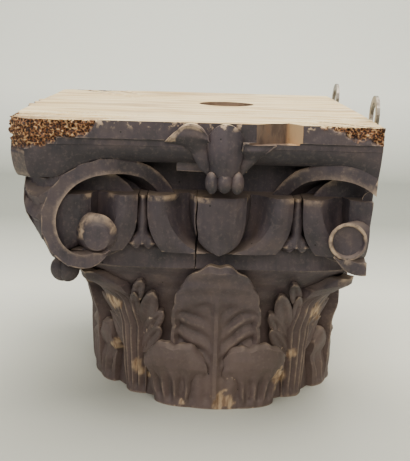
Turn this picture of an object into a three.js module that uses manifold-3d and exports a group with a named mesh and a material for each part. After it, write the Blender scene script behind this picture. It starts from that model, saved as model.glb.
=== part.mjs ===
// A carved wooden Corinthian capital of the composite kind, in millimetres, +Z up.
// The origin is on the column's axis, in the plane of the underside. The carved front faces -Y,
// and the +X side is sawn off, a little out of plumb. Two steel plates with a ring hang on it.
//
// Each side of the capital is worked out in the frame of its own face: s runs to the right as one
// looks at the face, w runs outwards from the axis, and z runs up. Faces are numbered from the
// front, turning to the right side, the rear and the left side.

import * as THREE from 'three';
import Module from 'manifold-3d';
import { mergeVertices } from 'three/addons/utils/BufferGeometryUtils.js';

const wasm = await Module();
wasm.setup();

// Heights of the courses, from the underside up
const bellHeight = 167;
const lipHeight = 22;
const echinusHeight = 58;
const recessHeight = 19;
const abacusHeight = 60;

// Plan sizes, measured outwards from the axis
const bellHalf = 128;
const lipHalf = 167;
const recessHalf = 150;
const abacusHalf = 215;
const abacusClip = 16;

// Abacus moulding: a plain fascia, a small step, and a hollow down to the underside, which is
// higher between the corners by the lift
const fasciaHeight = 18;
const stepHeight = 7;
const stepInset = 4;
const hollowInset = 34;
const hollowLift = 16;

// Egg-and-dart pattern on the echinus: how far each part stands off the core
const eggPitch = 160;
const eggHalf = 28;
const shellHalf = 75;
const eggFront = lipHalf + 34;
const sideEggFront = lipHalf + 29;
const valleyFront = lipHalf + 1;
const shellFront = lipHalf + 26;
const dartFront = lipHalf + 19;
const dartRidge = 7;
const dartFoot = 6;
const patternBack = lipHalf - 27;

// Volutes: a spiral about its eye, on both faces of each corner
const voluteInset = 11;
const voluteFront = abacusHalf - voluteInset;
const eyeInset = 79;
const eyeSide = voluteFront - eyeInset;
const eyeRise = 16;
const eyeRadius = 20;
const eyeBevel = 6;
const spiralStart = 105;
const spiralRate = 0.28;
const spiralLimit = 90;
const spiralFirst = 26;
const spiralLast = 318;
const bandWidth = 16;
const bandSink = 18;
const webInset = 34;
const webHalf = 46;
const webTall = 47;
const webRise = 18;
const budRadius = 16;
const budInset = 2.5;

// Leaves
const tallLeafHalf = 43;
const tallLeafRise = 7;
const lowLeafHalf = 34;
const lowLeafHeight = 75;
const lowLeafTurn = 17.5;
const lostLip = 14;
const leafEdge = 9;
const lobeRise = 9;

// Fleuron: a block with three petals, over three small buds
const fleuronSide = 3;
const petalStand = 11;
const petalFront = abacusHalf + petalStand;
const petalHalf = 18;
const wingHalf = 52;
const wingLobe = 22;
const fleuronDrop = 52;
const budDrop = 17;
const budPitch = 12.5;
const topGap = 0.5;
const breakDepth = 20;

// Bored hole in the sawn top
const boreRadius = 33;
const boreDepth = 90;
const boreSide = 7;
const boreSetback = 25;

// Sawn back: a plane leaning out at the top, and turned a little
const sawnInset = 55;
const sawnReach = abacusHalf - sawnInset;
const sawnLean = 2.6;
const sawnTurn = 1.15;
const splitDepth = 12.5;

// Hanging plates
const ringRadius = 21;
const ringHole = 13.5;
const plateThickness = 3.5;
const plateHalf = 12;
const plateDrop = 62;
const screwRadius = 4.5;
const screwHeight = 2;
const frontPlateInset = 79;
const frontPlateRise = 5;
const rearPlateInset = 71;
const rearPlateRise = 0.5;
const plateGap = 0.3;

// Worked-out levels
const lipTop = bellHeight + lipHeight;
const echinusTop = lipTop + echinusHeight;
const abacusBottom = echinusTop + recessHeight;
const height = abacusBottom + abacusHeight;
const eyeHeight = lipTop + eyeRise;
const webHeight = eyeHeight + webRise;
const webSide = eyeSide + 5;
const webFront = voluteFront - webInset;

const mix = THREE.MathUtils.lerp;
const radians = THREE.MathUtils.degToRad;
const clamp = THREE.MathUtils.clamp;
const smooth = THREE.MathUtils.smoothstep;

// A smooth curve through rows of values against their first column
function table(rows) {
  const curve = (column) => (at) => {
    const last = rows.length - 1;
    let i = 0;
    while (i < last - 1 && at > rows[i + 1][0]) i += 1;
    const t = clamp((at - rows[i][0]) / (rows[i + 1][0] - rows[i][0]), 0, 1);
    return mix(rows[i][column], rows[i + 1][column], t * t * (3 - 2 * t) * 0.5 + t * 0.5);
  };
  return rows[0].slice(1).map((_, column) => curve(column + 1));
}

// A closed geometry as a manifold solid, its faces turned outwards
function solid(geometry) {
  const bare = geometry.index ? geometry.toNonIndexed() : geometry.clone();
  bare.deleteAttribute('normal');
  bare.deleteAttribute('uv');
  const merged = mergeVertices(bare, 1e-3);
  const place = merged.attributes.position;
  const index = merged.index.array;
  const corners = [];
  let volume = 0;
  const [a, b, c] = [new THREE.Vector3(), new THREE.Vector3(), new THREE.Vector3()];
  for (let i = 0; i < index.length; i += 3) {
    const [p, q, r] = [index[i], index[i + 1], index[i + 2]];
    if (p === q || q === r || r === p) continue;
    corners.push(p, q, r);
    a.fromBufferAttribute(place, p);
    b.fromBufferAttribute(place, q);
    c.fromBufferAttribute(place, r);
    volume += a.dot(b.cross(c));
  }
  if (volume < 0) {
    for (let i = 0; i < corners.length; i += 3) {
      [corners[i], corners[i + 1]] = [corners[i + 1], corners[i]];
    }
  }
  const vertProperties = new Float32Array(place.array);
  const triVerts = new Uint32Array(corners);
  return new wasm.Manifold(new wasm.Mesh({ numProp: 3, vertProperties, triVerts }));
}

// Moves every vertex of a geometry to where a function puts it
function reshape(geometry, put) {
  const place = geometry.attributes.position;
  const point = new THREE.Vector3();
  for (let i = 0; i < place.count; i += 1) {
    const [x, y, z] = put(point.fromBufferAttribute(place, i));
    place.setXYZ(i, x, y, z);
  }
  return geometry;
}

// A closed sheet: across and up run from 0 to 1, and out is 0 on its back and 1 on its front
function sheet(columns, rows, put) {
  const box = new THREE.BoxGeometry(1, 1, 1, columns, rows, 1);
  return reshape(box, (p) => put(p.x + 0.5, p.y + 0.5, p.z + 0.5));
}

// A closed form turned about an axis: row counts the rings, turn is the angle round them, and out
// is 0 on the axis and 1 off it
function turned(rows, segments, put) {
  const profile = [];
  for (let i = 0; i <= rows; i += 1) {
    profile.push(new THREE.Vector2(i === 0 || i === rows ? 0 : 1, i));
  }
  const lathe = new THREE.LatheGeometry(profile, segments);
  return reshape(lathe, (p) => put(Math.round(p.y), Math.atan2(p.z, p.x), Math.hypot(p.x, p.z)));
}

// A point of a face's frame in the capital's frame, before the face is turned into place
const onFace = (s, w, z) => [s, -w, z];

// Bell

// Half width and squareness of the core's plan against height: 2 is round, 9 nearly square
const [coreHalf, coreSquare] = table([
  [0, bellHalf, 2],
  [0.24 * bellHeight, bellHalf - 3, 2.05],
  [0.48 * bellHeight, bellHalf - 5, 2.2],
  [0.66 * bellHeight, bellHalf, 2.6],
  [0.81 * bellHeight, mix(bellHalf, lipHalf, 0.3), 3.2],
  [0.91 * bellHeight, mix(bellHalf, lipHalf, 0.62), 4.3],
  [bellHeight, lipHalf, 5],
  [lipTop, lipHalf, 5],
  [lipTop + 2, lipHalf - 2, 7],
  [echinusTop, lipHalf - 2, 9],
]);

// Distance of the core's surface from the axis, in the direction of an angle
function coreRadius(angle, z) {
  const n = coreSquare(z);
  const c = Math.abs(Math.cos(angle)) ** n;
  const s = Math.abs(Math.sin(angle)) ** n;
  return coreHalf(z) / (c + s) ** (1 / n);
}

function makeCore() {
  const share = (part) => part * bellHeight;
  const levels = [0, share(0.3), share(0.6), share(0.76), share(0.88), share(0.95),
    bellHeight, lipTop, lipTop + 2, echinusTop];
  const top = abacusBottom + abacusHeight / 2;
  const rows = levels.length + 3;
  return turned(rows, 28, (row, turn, out) => {
    const level = row - 1;
    if (row === 0) return [0, 0, 0];
    if (row === rows) return [0, 0, top];
    const neck = level >= levels.length;
    const z = neck ? (level === levels.length ? echinusTop : top) : levels[level];
    const radius = out * coreRadius(turn, Math.min(z, echinusTop));
    const shrink = neck ? recessHalf / lipHalf : 1;
    return [radius * shrink * Math.cos(turn), radius * shrink * Math.sin(turn), z];
  });
}

// Abacus

// The square plan with clipped corners: points in order round it, with how near a corner each is
function abacusPlan(steps) {
  const points = [];
  const reach = abacusHalf - abacusClip;
  for (let face = 0; face < 4; face += 1) {
    for (let i = 0; i <= steps; i += 1) {
      const s = reach * (2 * (i / steps) - 1);
      const along = new THREE.Vector2(s, -abacusHalf);
      along.rotateAround(new THREE.Vector2(), (face * Math.PI) / 2);
      points.push({ along, face, nearCorner: Math.abs(s) / reach });
    }
  }
  return points;
}

function makeAbacus() {
  const steps = 4;
  const plan = abacusPlan(steps);
  const hollowTop = fasciaHeight + stepHeight;
  const hollow = abacusHeight - hollowTop;
  const rows = [
    [0, 0], [fasciaHeight, 0], [fasciaHeight + 1, stepInset], [hollowTop, stepInset],
    [hollowTop + 0.2 * hollow, mix(stepInset, hollowInset, 0.22)],
    [hollowTop + 0.45 * hollow, mix(stepInset, hollowInset, 0.45)],
    [hollowTop + 0.75 * hollow, mix(stepInset, hollowInset, 0.75)],
    [abacusHeight, hollowInset],
  ];
  const last = rows.length + 1;
  return turned(last, plan.length, (row, turn, out) => {
    if (row === 0) return [0, 0, height];
    if (row === last) return [0, 0, abacusBottom];
    const [drop, inset] = rows[row - 1];
    const at = Math.round(((turn + 2 * Math.PI) % (2 * Math.PI)) / (2 * Math.PI) * plan.length);
    const { along, nearCorner } = plan[at % plan.length];
    const eased = mix(1, 0.35, smooth(nearCorner, 0.6, 1));
    const shrink = 1 - (inset * eased) / abacusHalf;
    const lift = hollowLift * clamp((drop - hollowTop) / hollow, 0, 1) * (1 - smooth(nearCorner, 0.5, 1));
    return [along.x * shrink, along.y * shrink, height - drop + lift];
  });
}

// Echinus

// Half widths of the egg, the inner edge of its shell and the outer edge, against the drop
const eggEdge = (drop) => eggHalf * Math.sqrt(Math.max(0, 1 - (drop / 0.97) ** 3.2));
const shellEdge = (drop) => shellHalf * (1 - 0.21 * drop ** 3.5);
const shellInner = (drop) => {
  const rest = Math.max(0, 1 - (drop / 0.98) ** 2.8);
  return 0.76 * shellHalf * rest ** 0.62;
};

// One egg in its shell. reach is how far out each part of it stands, from the egg's middle
function makeEgg(middle, front, sideFrom) {
  const places = [
    [0, 0, front], [0.6, 0, front - 4], [1, 0, front - 16],
    [1, 0.2, valleyFront], [1, 0.65, valleyFront + 7], [1, 1, shellFront],
    [2, 1, shellFront - 4],
  ];
  const side = places.length - 1;
  const crest = sideFrom === 0 ? 1.3 : 0.7;
  const columns = sideFrom === 0 ? side * 2 : side + 2;
  const rows = 4;
  return sheet(columns, rows, (across, up, out) => {
    const column = Math.round(across * columns);
    const step = sideFrom === 0 ? column - side : sideFrom * (column - 2);
    const sign = Math.sign(step);
    const [part, share, reach] = places[Math.min(Math.abs(step), side)];
    const drop = 1 - up;
    const inner = shellInner(drop);
    const egg = Math.min(eggEdge(drop), inner);
    let s = part <= 1 && share === 0 ? part * egg : mix(egg, inner, share);
    if (part === 2) s = mix(inner, shellEdge(drop), share);
    const closed = smooth(drop, 0.72, 1);
    const sunk = part < 2 ? mix(reach, shellFront - 2, closed) : reach;
    const w = out > 0.5 ? sunk - 4 * drop * drop : patternBack;
    return onFace(middle + sign * s, w, mix(lipTop - 1, echinusTop + crest, up));
  });
}

// The tongue between two shells, on its small tulip foot
function makeDart(middle) {
  const half = table([[0, 15], [0.33, 6], [0.67, 5], [1, 4]])[0];
  return sheet(2, 3, (across, up, out) => {
    const w = dartFront - dartRidge * Math.abs(2 * across - 1) - (up === 0 ? dartFoot : 0);
    const s = middle + half(up) * (2 * across - 1);
    return onFace(s, out > 0.5 ? w : patternBack, mix(lipTop + 1, echinusTop + 0.4, up));
  });
}

// Volutes

// Radius of the spiral's outer edge at an angle in degrees about its eye
const spiral = (turn) => clamp(spiralStart - spiralRate * turn, eyeRadius, spiralLimit);

// A loft between a curve on one face and its mirror image on the next, across the corner between
// them. The outline gives the side, front and height of the curve's point
function makeCornerLoft(rows, outline) {
  return sheet(1, rows, (across, up, out) => {
    const [side, front, z] = outline(up, out);
    const from = [-side, -front];
    const to = [-front, -side];
    return [mix(from[0], to[0], across), mix(from[1], to[1], across), z];
  });
}

function makeVolute() {
  const band = makeCornerLoft(15, (along, out) => {
    const turn = mix(spiralFirst, spiralLast, along);
    const outer = spiral(turn);
    const inner = Math.min(Math.max(outer - bandWidth, eyeRadius - 1), outer - 1.5);
    const radius = out > 0.5 ? outer : inner;
    const sink = bandSink * (1 - smooth(turn, spiralFirst, 90));
    const angle = radians(turn);
    const side = eyeSide - radius * Math.cos(angle);
    return [side, voluteFront - sink, eyeHeight + radius * Math.sin(angle)];
  });
  // An oval boss on both faces of the corner: rings give its share of the size and its depth
  const lump = (sides, side, front, rise, half, tall, rings) => {
    const both = [...rings, ...rings.toReversed()];
    return turned(both.length + 1, sides, (row, turn, out) => {
      const [share, deep] = both[clamp(row - 1, 0, both.length - 1)];
      const across = side + out * share * half * Math.cos(turn);
      const z = rise + out * share * tall * Math.sin(turn) - (1 - share) * half * 0.5;
      return row <= rings.length ? [-across, deep - front, z] : [deep - front, -across, z];
    });
  };
  const bevelled = [[1 - eyeBevel / eyeRadius, 0], [1, eyeBevel]];
  const eye = lump(10, eyeSide, voluteFront, eyeHeight + 3, eyeRadius, eyeRadius, bevelled);
  const web = lump(6, webSide, webFront, webHeight, webHalf, webTall, [[1, 0]]);
  return [band, eye, web];
}

// The small bud that hangs under a volute, on the diagonal
function makeBud() {
  const ball = new THREE.SphereGeometry(budRadius, 8, 6);
  ball.rotateX(Math.PI / 2);
  const out = (voluteFront + eyeSide) / 2 - budInset;
  return ball.translate(-out, -out, bellHeight - 5);
}

// Leaves

// A leaf lying on the bell and standing off it at its tip. stand gives, for a share of the
// leaf's length, its distance from the bell in front and behind and its half width
function makeLeaf({ centre, tip, columns, rows, shape, fold, arch, square, hug, relief }) {
  const [front, back, half] = table(shape);
  return sheet(columns, rows, (across, up, out) => {
    const u = 2 * across - 1;
    const round = arch * Math.abs(u) ** square * up ** 4;
    const z = tip * up - round;
    const low = clamp(z, 0, bellHeight);
    const carved = relief(u, up) - hug * Math.abs(u) ** 3 - fold * Math.abs(u);
    const stand = out > 0.5 ? front(up) + carved : back(up) - fold * Math.abs(u);
    const angle = radians(centre) + (u * half(up)) / (coreRadius(radians(centre), low) + 15);
    const radius = coreRadius(angle, low) + stand;
    return [radius * Math.cos(angle), radius * Math.sin(angle), z];
  });
}

// The tall leaf in the middle of a face: a rib, fluted wings and a smooth lip that leans out
function makeTallLeaf() {
  const flutes = (u, up) => {
    const wing = smooth(Math.abs(u), 0.06, 0.3) * (1 - smooth(up, 0.66, 0.8));
    const wave = Math.cos(2 * Math.PI * (5.2 * up - 1.1 * Math.abs(u)));
    return wing * (2.6 * wave - 3.5) + (Math.abs(u) < 0.05 ? 2 : 0);
  };
  return makeLeaf({
    centre: -90,
    tip: bellHeight + tallLeafRise,
    columns: 8,
    rows: 6,
    shape: [[0, 18, -8, 0.95 * tallLeafHalf], [0.2, 24, -8, 1.05 * tallLeafHalf],
      [0.4, 27, -8, 1.1 * tallLeafHalf], [0.58, 29, -8, 1.08 * tallLeafHalf],
      [0.7, 30, 0, 1.04 * tallLeafHalf], [0.85, 28, 10, 0.98 * tallLeafHalf],
      [0.95, 22, 22 - leafEdge, 0.92 * tallLeafHalf], [1, 18, 18 - leafEdge, 0.88 * tallLeafHalf]],
    fold: 0,
    arch: 24,
    square: 2.5,
    hug: 6,
    relief: flutes,
  });
}

// One of the low leaves: upright flutes below a smooth, rounded lip, which broke off some
function makeLowLeaf(turn, broken) {
  const flutes = (u, up) => (1 - smooth(up, 0.4, 0.62)) * 3 * (Math.cos(3 * Math.PI * u) - 1);
  const lost = broken ? lostLip : 0;
  return makeLeaf({
    centre: -90 + turn,
    tip: lowLeafHeight,
    columns: 4,
    rows: 4,
    shape: [[0, 16 - 0.3 * lost, -8, 0.8 * lowLeafHalf], [0.35, 20 - 0.5 * lost, -8, 0.9 * lowLeafHalf],
      [0.6, 27 - lost, -8, lowLeafHalf], [0.8, 32 - lost, 12 - lost, lowLeafHalf],
      [1, 30 - lost, 30 - leafEdge - lost, 0.94 * lowLeafHalf]],
    fold: 0,
    arch: 13,
    square: 4,
    hug: 7,
    relief: flutes,
  });
}

// The body of a corner leaf: a folded stem with long flutes and a curled tip
function makeCornerLeaf() {
  return makeLeaf({
    centre: -135,
    tip: 0.93 * bellHeight,
    columns: 6,
    rows: 5,
    shape: [[0, 9, -8, 19], [0.25, 14, -8, 21], [0.5, 16, -8, 24], [0.78, 13, -8, 24],
      [0.87, 21, -2, 25], [0.94, 23, 4, 25], [1, 15, 0, 21]],
    fold: 5,
    arch: 9,
    square: 3,
    hug: 3,
    relief: (u, up) => 2.2 * (Math.cos(4 * Math.PI * u) - 1) * (1 - smooth(up, 0.72, 0.85)),
  });
}

// A side lobe of a corner leaf, lying on the bell from its root to its tip
function makeLobe([rootSide, rootHeight], [tipSide, tipHeight], half) {
  const run = new THREE.Vector2(tipSide - rootSide, (tipHeight - rootHeight) * bellHeight);
  const across = new THREE.Vector2(run.y, -run.x).normalize();
  return sheet(1, 2, (share, up, out) => {
    const wide = half * (2 * share - 1) * Math.sin(Math.PI * (0.2 + 0.68 * up));
    const s = mix(rootSide, tipSide, up) + across.x * wide;
    const z = mix(rootHeight, tipHeight, up) * bellHeight + across.y * wide;
    const n = coreSquare(z);
    const base = (coreHalf(z) ** n - Math.abs(s) ** n) ** (1 / n);
    return onFace(s, out > 0.5 ? base + lobeRise + 3 * up : base - lobeRise, z);
  });
}

const lobes = [
  [[-92, 0.66], [-83, 0.88], 7],
  [[-84, 0.42], [-69, 0.79], 12],
  [[-84, 0.3], [-62, 0.58], 9],
];

// Fleuron

// A petal: an upright sheet between two side curves, crowned across, from foot to tip
function makePetal(columns, rows, edges, crown, backSet) {
  return sheet(columns, rows, (across, up, out) => {
    const [left, right, z] = edges(up, across);
    const s = mix(left, right, across);
    const bulge = crown * (1 - (2 * across - 1) ** 2) * Math.sin(Math.PI * (0.15 + 0.75 * up));
    return onFace(s, out > 0.5 ? petalFront - crown + bulge : abacusHalf - backSet, z);
  });
}

function makeFleuron(brokenWing) {
  const foot = height - fleuronDrop;
  const petalTop = height - topGap;
  const backSet = 1.5 * hollowInset;
  const middle = makePetal(4, 5, (up, across) => {
    const half = mix(petalHalf - 3, petalHalf, smooth(up, 0, 0.6));
    const arch = 13 * Math.abs(2 * across - 1) ** 2.2 * smooth(up, 0.5, 1);
    return [fleuronSide - half, fleuronSide + half, mix(foot, petalTop, up) - arch];
  }, 8, backSet);
  const wing = (side) => {
    const lobe = side === brokenWing ? 0 : wingLobe;
    const top = lobe > 0 ? petalTop : height - fasciaHeight;
    return makePetal(2, 4, (up, across) => {
      const inner = petalHalf * mix(0.5, 0.95, up);
      const outer = mix(0.5 * wingHalf, wingHalf + 6, smooth(up, 0, 0.75));
      const arch = lobe * 0.75 * Math.abs(2 * across - 1) ** 2.4 * smooth(up, 0.55, 1);
      const z = mix(foot, top, up) - arch;
      return [fleuronSide + side * inner, fleuronSide + side * outer, z];
    }, 6, backSet);
  };
  const parts = [middle, wing(-1), wing(1)];
  for (let i = -1; i <= 1; i += 1) {
    const bud = new THREE.SphereGeometry(1, 6, 3);
    bud.scale(0.52 * budPitch, 9, 0.8 * budDrop);
    bud.translate(fleuronSide + i * budPitch, 8 - petalFront, foot - budDrop / 2 + 3);
    parts.push(bud);
  }
  const blockHalf = wingHalf + 5;
  const lost = brokenWing > 0 ? wingHalf - petalHalf : 0;
  const block = new THREE.BoxGeometry(2 * blockHalf - lost, 2 * hollowInset, fleuronDrop - 4);
  const blockFront = petalFront - 14;
  block.translate(fleuronSide - lost / 2, hollowInset - blockFront, foot + fleuronDrop / 2 - 2);
  return [...parts, block];
}

// Whole capital

const quarter = Math.PI / 2;

// Turns a geometry made on the front face to the face of that number
const toFace = (geometry, face) => geometry.rotateZ(face * quarter);

// A geometry mirrored left to right
const mirrored = (geometry) => geometry.scale(-1, 1, 1);

// The space behind the sawn back, and the same plane's frame for what is fixed to it
const sawnPlane = new THREE.Object3D();
sawnPlane.position.set(sawnReach, -abacusHalf, height);
sawnPlane.rotation.set(0, radians(sawnLean), radians(sawnTurn), 'ZYX');
sawnPlane.updateMatrix();

function makeOffcut() {
  const size = 3 * abacusHalf;
  const box = new THREE.BoxGeometry(size, 2 * size, 2 * size).translate(size / 2, 0, 0);
  return box.applyMatrix4(sawnPlane.matrix);
}

// The bay where the front fleuron's right wing and the abacus beside it broke away
function makeBreak() {
  const outline = new THREE.Shape();
  const start = petalHalf + 7;
  const front = -petalFront - breakDepth;
  outline.moveTo(start, front);
  outline.lineTo(start + 1, -petalFront + 6);
  outline.lineTo(wingHalf + 14, -abacusHalf + breakDepth);
  outline.lineTo(wingHalf + 27, -abacusHalf - 1);
  outline.lineTo(wingHalf + 29, front);
  const depth = fasciaHeight + stepHeight + 5;
  const prism = new THREE.ExtrudeGeometry(outline, { depth, bevelEnabled: false });
  return prism.translate(0, 0, height - fasciaHeight - 2);
}

// What split off the volute beside the sawn back: its outline leans in below the echinus' top
function makeSplit() {
  const outline = new THREE.Shape();
  outline.moveTo(sawnReach + splitDepth, echinusTop + 2);
  outline.lineTo(sawnReach - 4, echinusTop + 2);
  outline.lineTo(sawnReach - splitDepth, lipTop + 4);
  outline.lineTo(sawnReach - splitDepth, bellHeight - budRadius);
  outline.lineTo(sawnReach + splitDepth, bellHeight - budRadius);
  const prism = new THREE.ExtrudeGeometry(outline, { depth: abacusHalf / 2, bevelEnabled: false });
  return prism.rotateX(quarter).translate(0, -abacusHalf / 2, 0);
}

function makeCapital() {
  const forms = [makeCore(), makeAbacus()];
  for (let face = 0; face < 4; face += 1) {
    const put = (geometry) => forms.push(toFace(geometry, face));
    const sawn = face === 1;
    put(makeTallLeaf());
    put(makeCornerLeaf());
    makeVolute().forEach(put);
    if (face === 0 || face === 3) put(makeBud());
    for (const side of [-1, 1]) {
      put(makeLowLeaf(side * lowLeafTurn, (face === 3 && side > 0) || (sawn && side < 0)));
      for (const [root, tip, half] of lobes) {
        const lobe = makeLobe(root, tip, half);
        put(side < 0 ? lobe : mirrored(lobe));
      }
      if (!sawn) {
        put(makeDart((side * eggPitch) / 2));
        put(makeEgg(side * eggPitch, sideEggFront, -side));
      }
    }
    if (!sawn) {
      put(makeEgg(0, eggFront, 0));
      makeFleuron(face === 0 ? 1 : 0).forEach(put);
    }
  }
  let whole = wasm.Manifold.union(forms.map(solid));
  const bore = new THREE.CylinderGeometry(boreRadius, boreRadius, 2 * boreDepth, 24);
  bore.rotateX(quarter).translate(boreSide, boreSetback, height);
  whole = whole.subtract(solid(bore));
  whole = whole.subtract(solid(makeBreak()));
  whole = whole.subtract(solid(makeOffcut()));
  whole = whole.subtract(solid(makeSplit()));
  const below = new THREE.BoxGeometry(3 * abacusHalf, 3 * abacusHalf, abacusHalf);
  whole = whole.subtract(solid(below.translate(0, 0, -abacusHalf / 2)));
  const above = new THREE.BoxGeometry(3 * abacusHalf, 3 * abacusHalf, abacusHalf);
  return whole.subtract(solid(above.translate(0, 0, height + abacusHalf / 2)));
}

// A manifold solid as a geometry of three.js
function toGeometry(manifold) {
  const mesh = manifold.getMesh();
  const geometry = new THREE.BufferGeometry();
  geometry.setAttribute('position', new THREE.BufferAttribute(mesh.vertProperties, 3));
  geometry.setIndex(new THREE.BufferAttribute(mesh.triVerts, 1));
  geometry.computeVertexNormals();
  return geometry;
}

// A hanging plate: a round eye over a straight shank with a rounded foot and two screw heads.
// It is made flat, its eye's centre at the origin and its back in the plane of the sawn wood
function makeHangingPlate() {
  const outline = new THREE.Shape();
  const neck = Math.asin(plateHalf / ringRadius);
  outline.absarc(0, 0, ringRadius, neck - quarter, 3 * quarter - neck, false);
  outline.lineTo(-plateHalf, plateHalf - plateDrop);
  outline.absarc(0, plateHalf - plateDrop, plateHalf, 2 * quarter, 4 * quarter, false);
  outline.closePath();
  const eye = new THREE.Path();
  eye.absarc(0, 0, ringHole, 0, 4 * quarter, true);
  outline.holes.push(eye);
  const settings = { depth: plateThickness, bevelEnabled: false, curveSegments: 7 };
  let plate = solid(new THREE.ExtrudeGeometry(outline, settings));
  const shank = plateDrop - ringRadius;
  for (const share of [0.32, 0.78]) {
    const head = new THREE.CylinderGeometry(0.7 * screwRadius, screwRadius, screwHeight + 1, 8);
    head.rotateX(quarter);
    head.translate(0, -ringRadius - share * shank, plateThickness + (screwHeight - 1) / 2);
    plate = plate.add(solid(head));
  }
  return toGeometry(plate);
}

const wood = new THREE.MeshStandardMaterial({ color: 0x55483f, roughness: 0.62, metalness: 0 });
const steel = new THREE.MeshStandardMaterial({ color: 0x8b8780, roughness: 0.4, metalness: 1 });

const group = new THREE.Group();

const capital = new THREE.Mesh(toGeometry(makeCapital()), wood);
capital.name = 'capital';
group.add(capital);

// The plates stand in the sawn plane's frame, whose axes are out of the wood, along it and up it
const back = new THREE.Group();
back.position.copy(sawnPlane.position);
back.rotation.copy(sawnPlane.rotation);
group.add(back);

function hang(name, along, rise) {
  const plate = new THREE.Mesh(makeHangingPlate(), steel);
  plate.name = name;
  plate.position.set(plateGap, along, rise);
  plate.rotation.set(quarter, quarter, 0, 'XYZ');
  back.add(plate);
}

hang('hanging_plate_front', frontPlateInset, frontPlateRise);
hang('hanging_plate_rear', 2 * abacusHalf - rearPlateInset, rearPlateRise);

export default group;
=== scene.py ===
"""The looks of a carved wooden capital, sawn flat at the back and hung on two steel plates.

All shapes are worked out in millimetres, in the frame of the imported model: the origin is on the
column's axis in the plane of the underside, +Z is up, the carved front faces -Y and the sawn back
faces +X. Each side of the capital is worked out in the frame of its own face: s runs to the right
as one looks at the face, w runs outwards from the axis, and z runs up. Faces are numbered from
the front, turning to the right side, the rear and the left side.
"""
import logging
import math
from dataclasses import dataclass, field
from enum import Enum
from typing import Callable, Sequence

import bpy
import numpy as np
from mathutils import Euler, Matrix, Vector


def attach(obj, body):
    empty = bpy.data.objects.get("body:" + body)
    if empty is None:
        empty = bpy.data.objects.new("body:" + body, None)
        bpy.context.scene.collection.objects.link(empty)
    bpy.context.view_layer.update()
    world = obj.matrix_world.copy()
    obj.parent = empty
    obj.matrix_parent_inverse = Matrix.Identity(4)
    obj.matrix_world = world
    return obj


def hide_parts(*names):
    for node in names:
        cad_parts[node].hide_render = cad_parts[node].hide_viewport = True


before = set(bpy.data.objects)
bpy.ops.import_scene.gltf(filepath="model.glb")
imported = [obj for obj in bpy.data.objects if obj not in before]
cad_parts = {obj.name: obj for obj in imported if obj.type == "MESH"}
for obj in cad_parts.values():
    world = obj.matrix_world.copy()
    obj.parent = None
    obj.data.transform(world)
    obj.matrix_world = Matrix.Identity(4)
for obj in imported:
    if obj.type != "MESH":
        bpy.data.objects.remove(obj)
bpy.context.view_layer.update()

LOG = logging.getLogger("capital")
MM = 0.001

Array = np.ndarray
Put = Callable[[Array, Array, Array], Array]
CUT_LAYER = "cut"
WORM_LAYER = "worm"
CHIP_LAYER = "chip"
# Worn rims, partly painted highlights.
RUB_AND_HIGHLIGHT_LAYER = "rub_and_highlight"


class Cut(Enum):
    """What made a face: the carver, or one of the later cuts and breaks."""

    CARVED = 0
    TOP = 1
    BACK = 2
    BREAK = 3
    BORE = 4
    CRACK = 5


class Face(Enum):
    """The four sides of the capital, by the quarter turns from the front."""

    FRONT = 0
    RIGHT = 1
    REAR = 2
    LEFT = 3


# Numbers and noise


def mix(a: Array | float, b: Array | float, t: Array | float) -> Array | float:
    """Goes from a to b as t goes from 0 to 1."""
    return a + (b - a) * t


def smooth(x: Array | float, low: float, high: float) -> Array | float:
    """Rises from 0 at low to 1 at high with level ends: 3t^2 - 2t^3."""
    t = np.clip((np.asarray(x, dtype=float) - low) / (high - low), 0.0, 1.0)
    return t * t * (3.0 - 2.0 * t)


def table(rows: Sequence[Sequence[float]], column: int) -> Callable[[Array], Array]:
    """Makes a curve through rows of values, half eased between each two.

    Args:
        rows: Rows that start with the place, in rising order.
        column: Which value of the rows the curve gives.

    Returns:
        A function from places to values.
    """
    at = np.array([row[0] for row in rows])
    value = np.array([row[column] for row in rows])

    def curve(x: Array) -> Array:
        x = np.asarray(x, dtype=float)
        i = np.clip(np.searchsorted(at, x, side="right") - 1, 0, len(at) - 2)
        t = np.clip((x - at[i]) / (at[i + 1] - at[i]), 0.0, 1.0)
        eased = 0.5 * t * t * (3.0 - 2.0 * t) + 0.5 * t
        return value[i] + (value[i + 1] - value[i]) * eased

    return curve


def lattice_noise(points: Array, scale: float, seed: int) -> Array:
    """Smooth noise from -1 to 1: random values on a lattice, blended by smooth steps.

    Args:
        points: Places, one row each, in millimetres.
        scale: The lattice's spacing in millimetres.
        seed: Picks the values.

    Returns:
        One value for each point.
    """
    place = points / scale + 1000.0
    cell = np.floor(place).astype(np.int64)
    part = place - cell
    part = part * part * (3.0 - 2.0 * part)
    total = np.zeros(len(points))
    for corner in range(8):
        step = np.array([(corner >> k) & 1 for k in range(3)])
        at = cell + step
        key = (at[:, 0] * 73856093) ^ (at[:, 1] * 19349663) ^ (at[:, 2] * 83492791) ^ (seed * 2654435)
        key = (key ^ (key >> 13)) * 1274126177 & 0x7FFFFFFF
        value = ((key ^ (key >> 16)) & 0xFFFF) / 32767.5 - 1.0
        weight = np.where(step, part, 1.0 - part).prod(axis=1)
        total += weight * value
    return total


# Meshes


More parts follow.
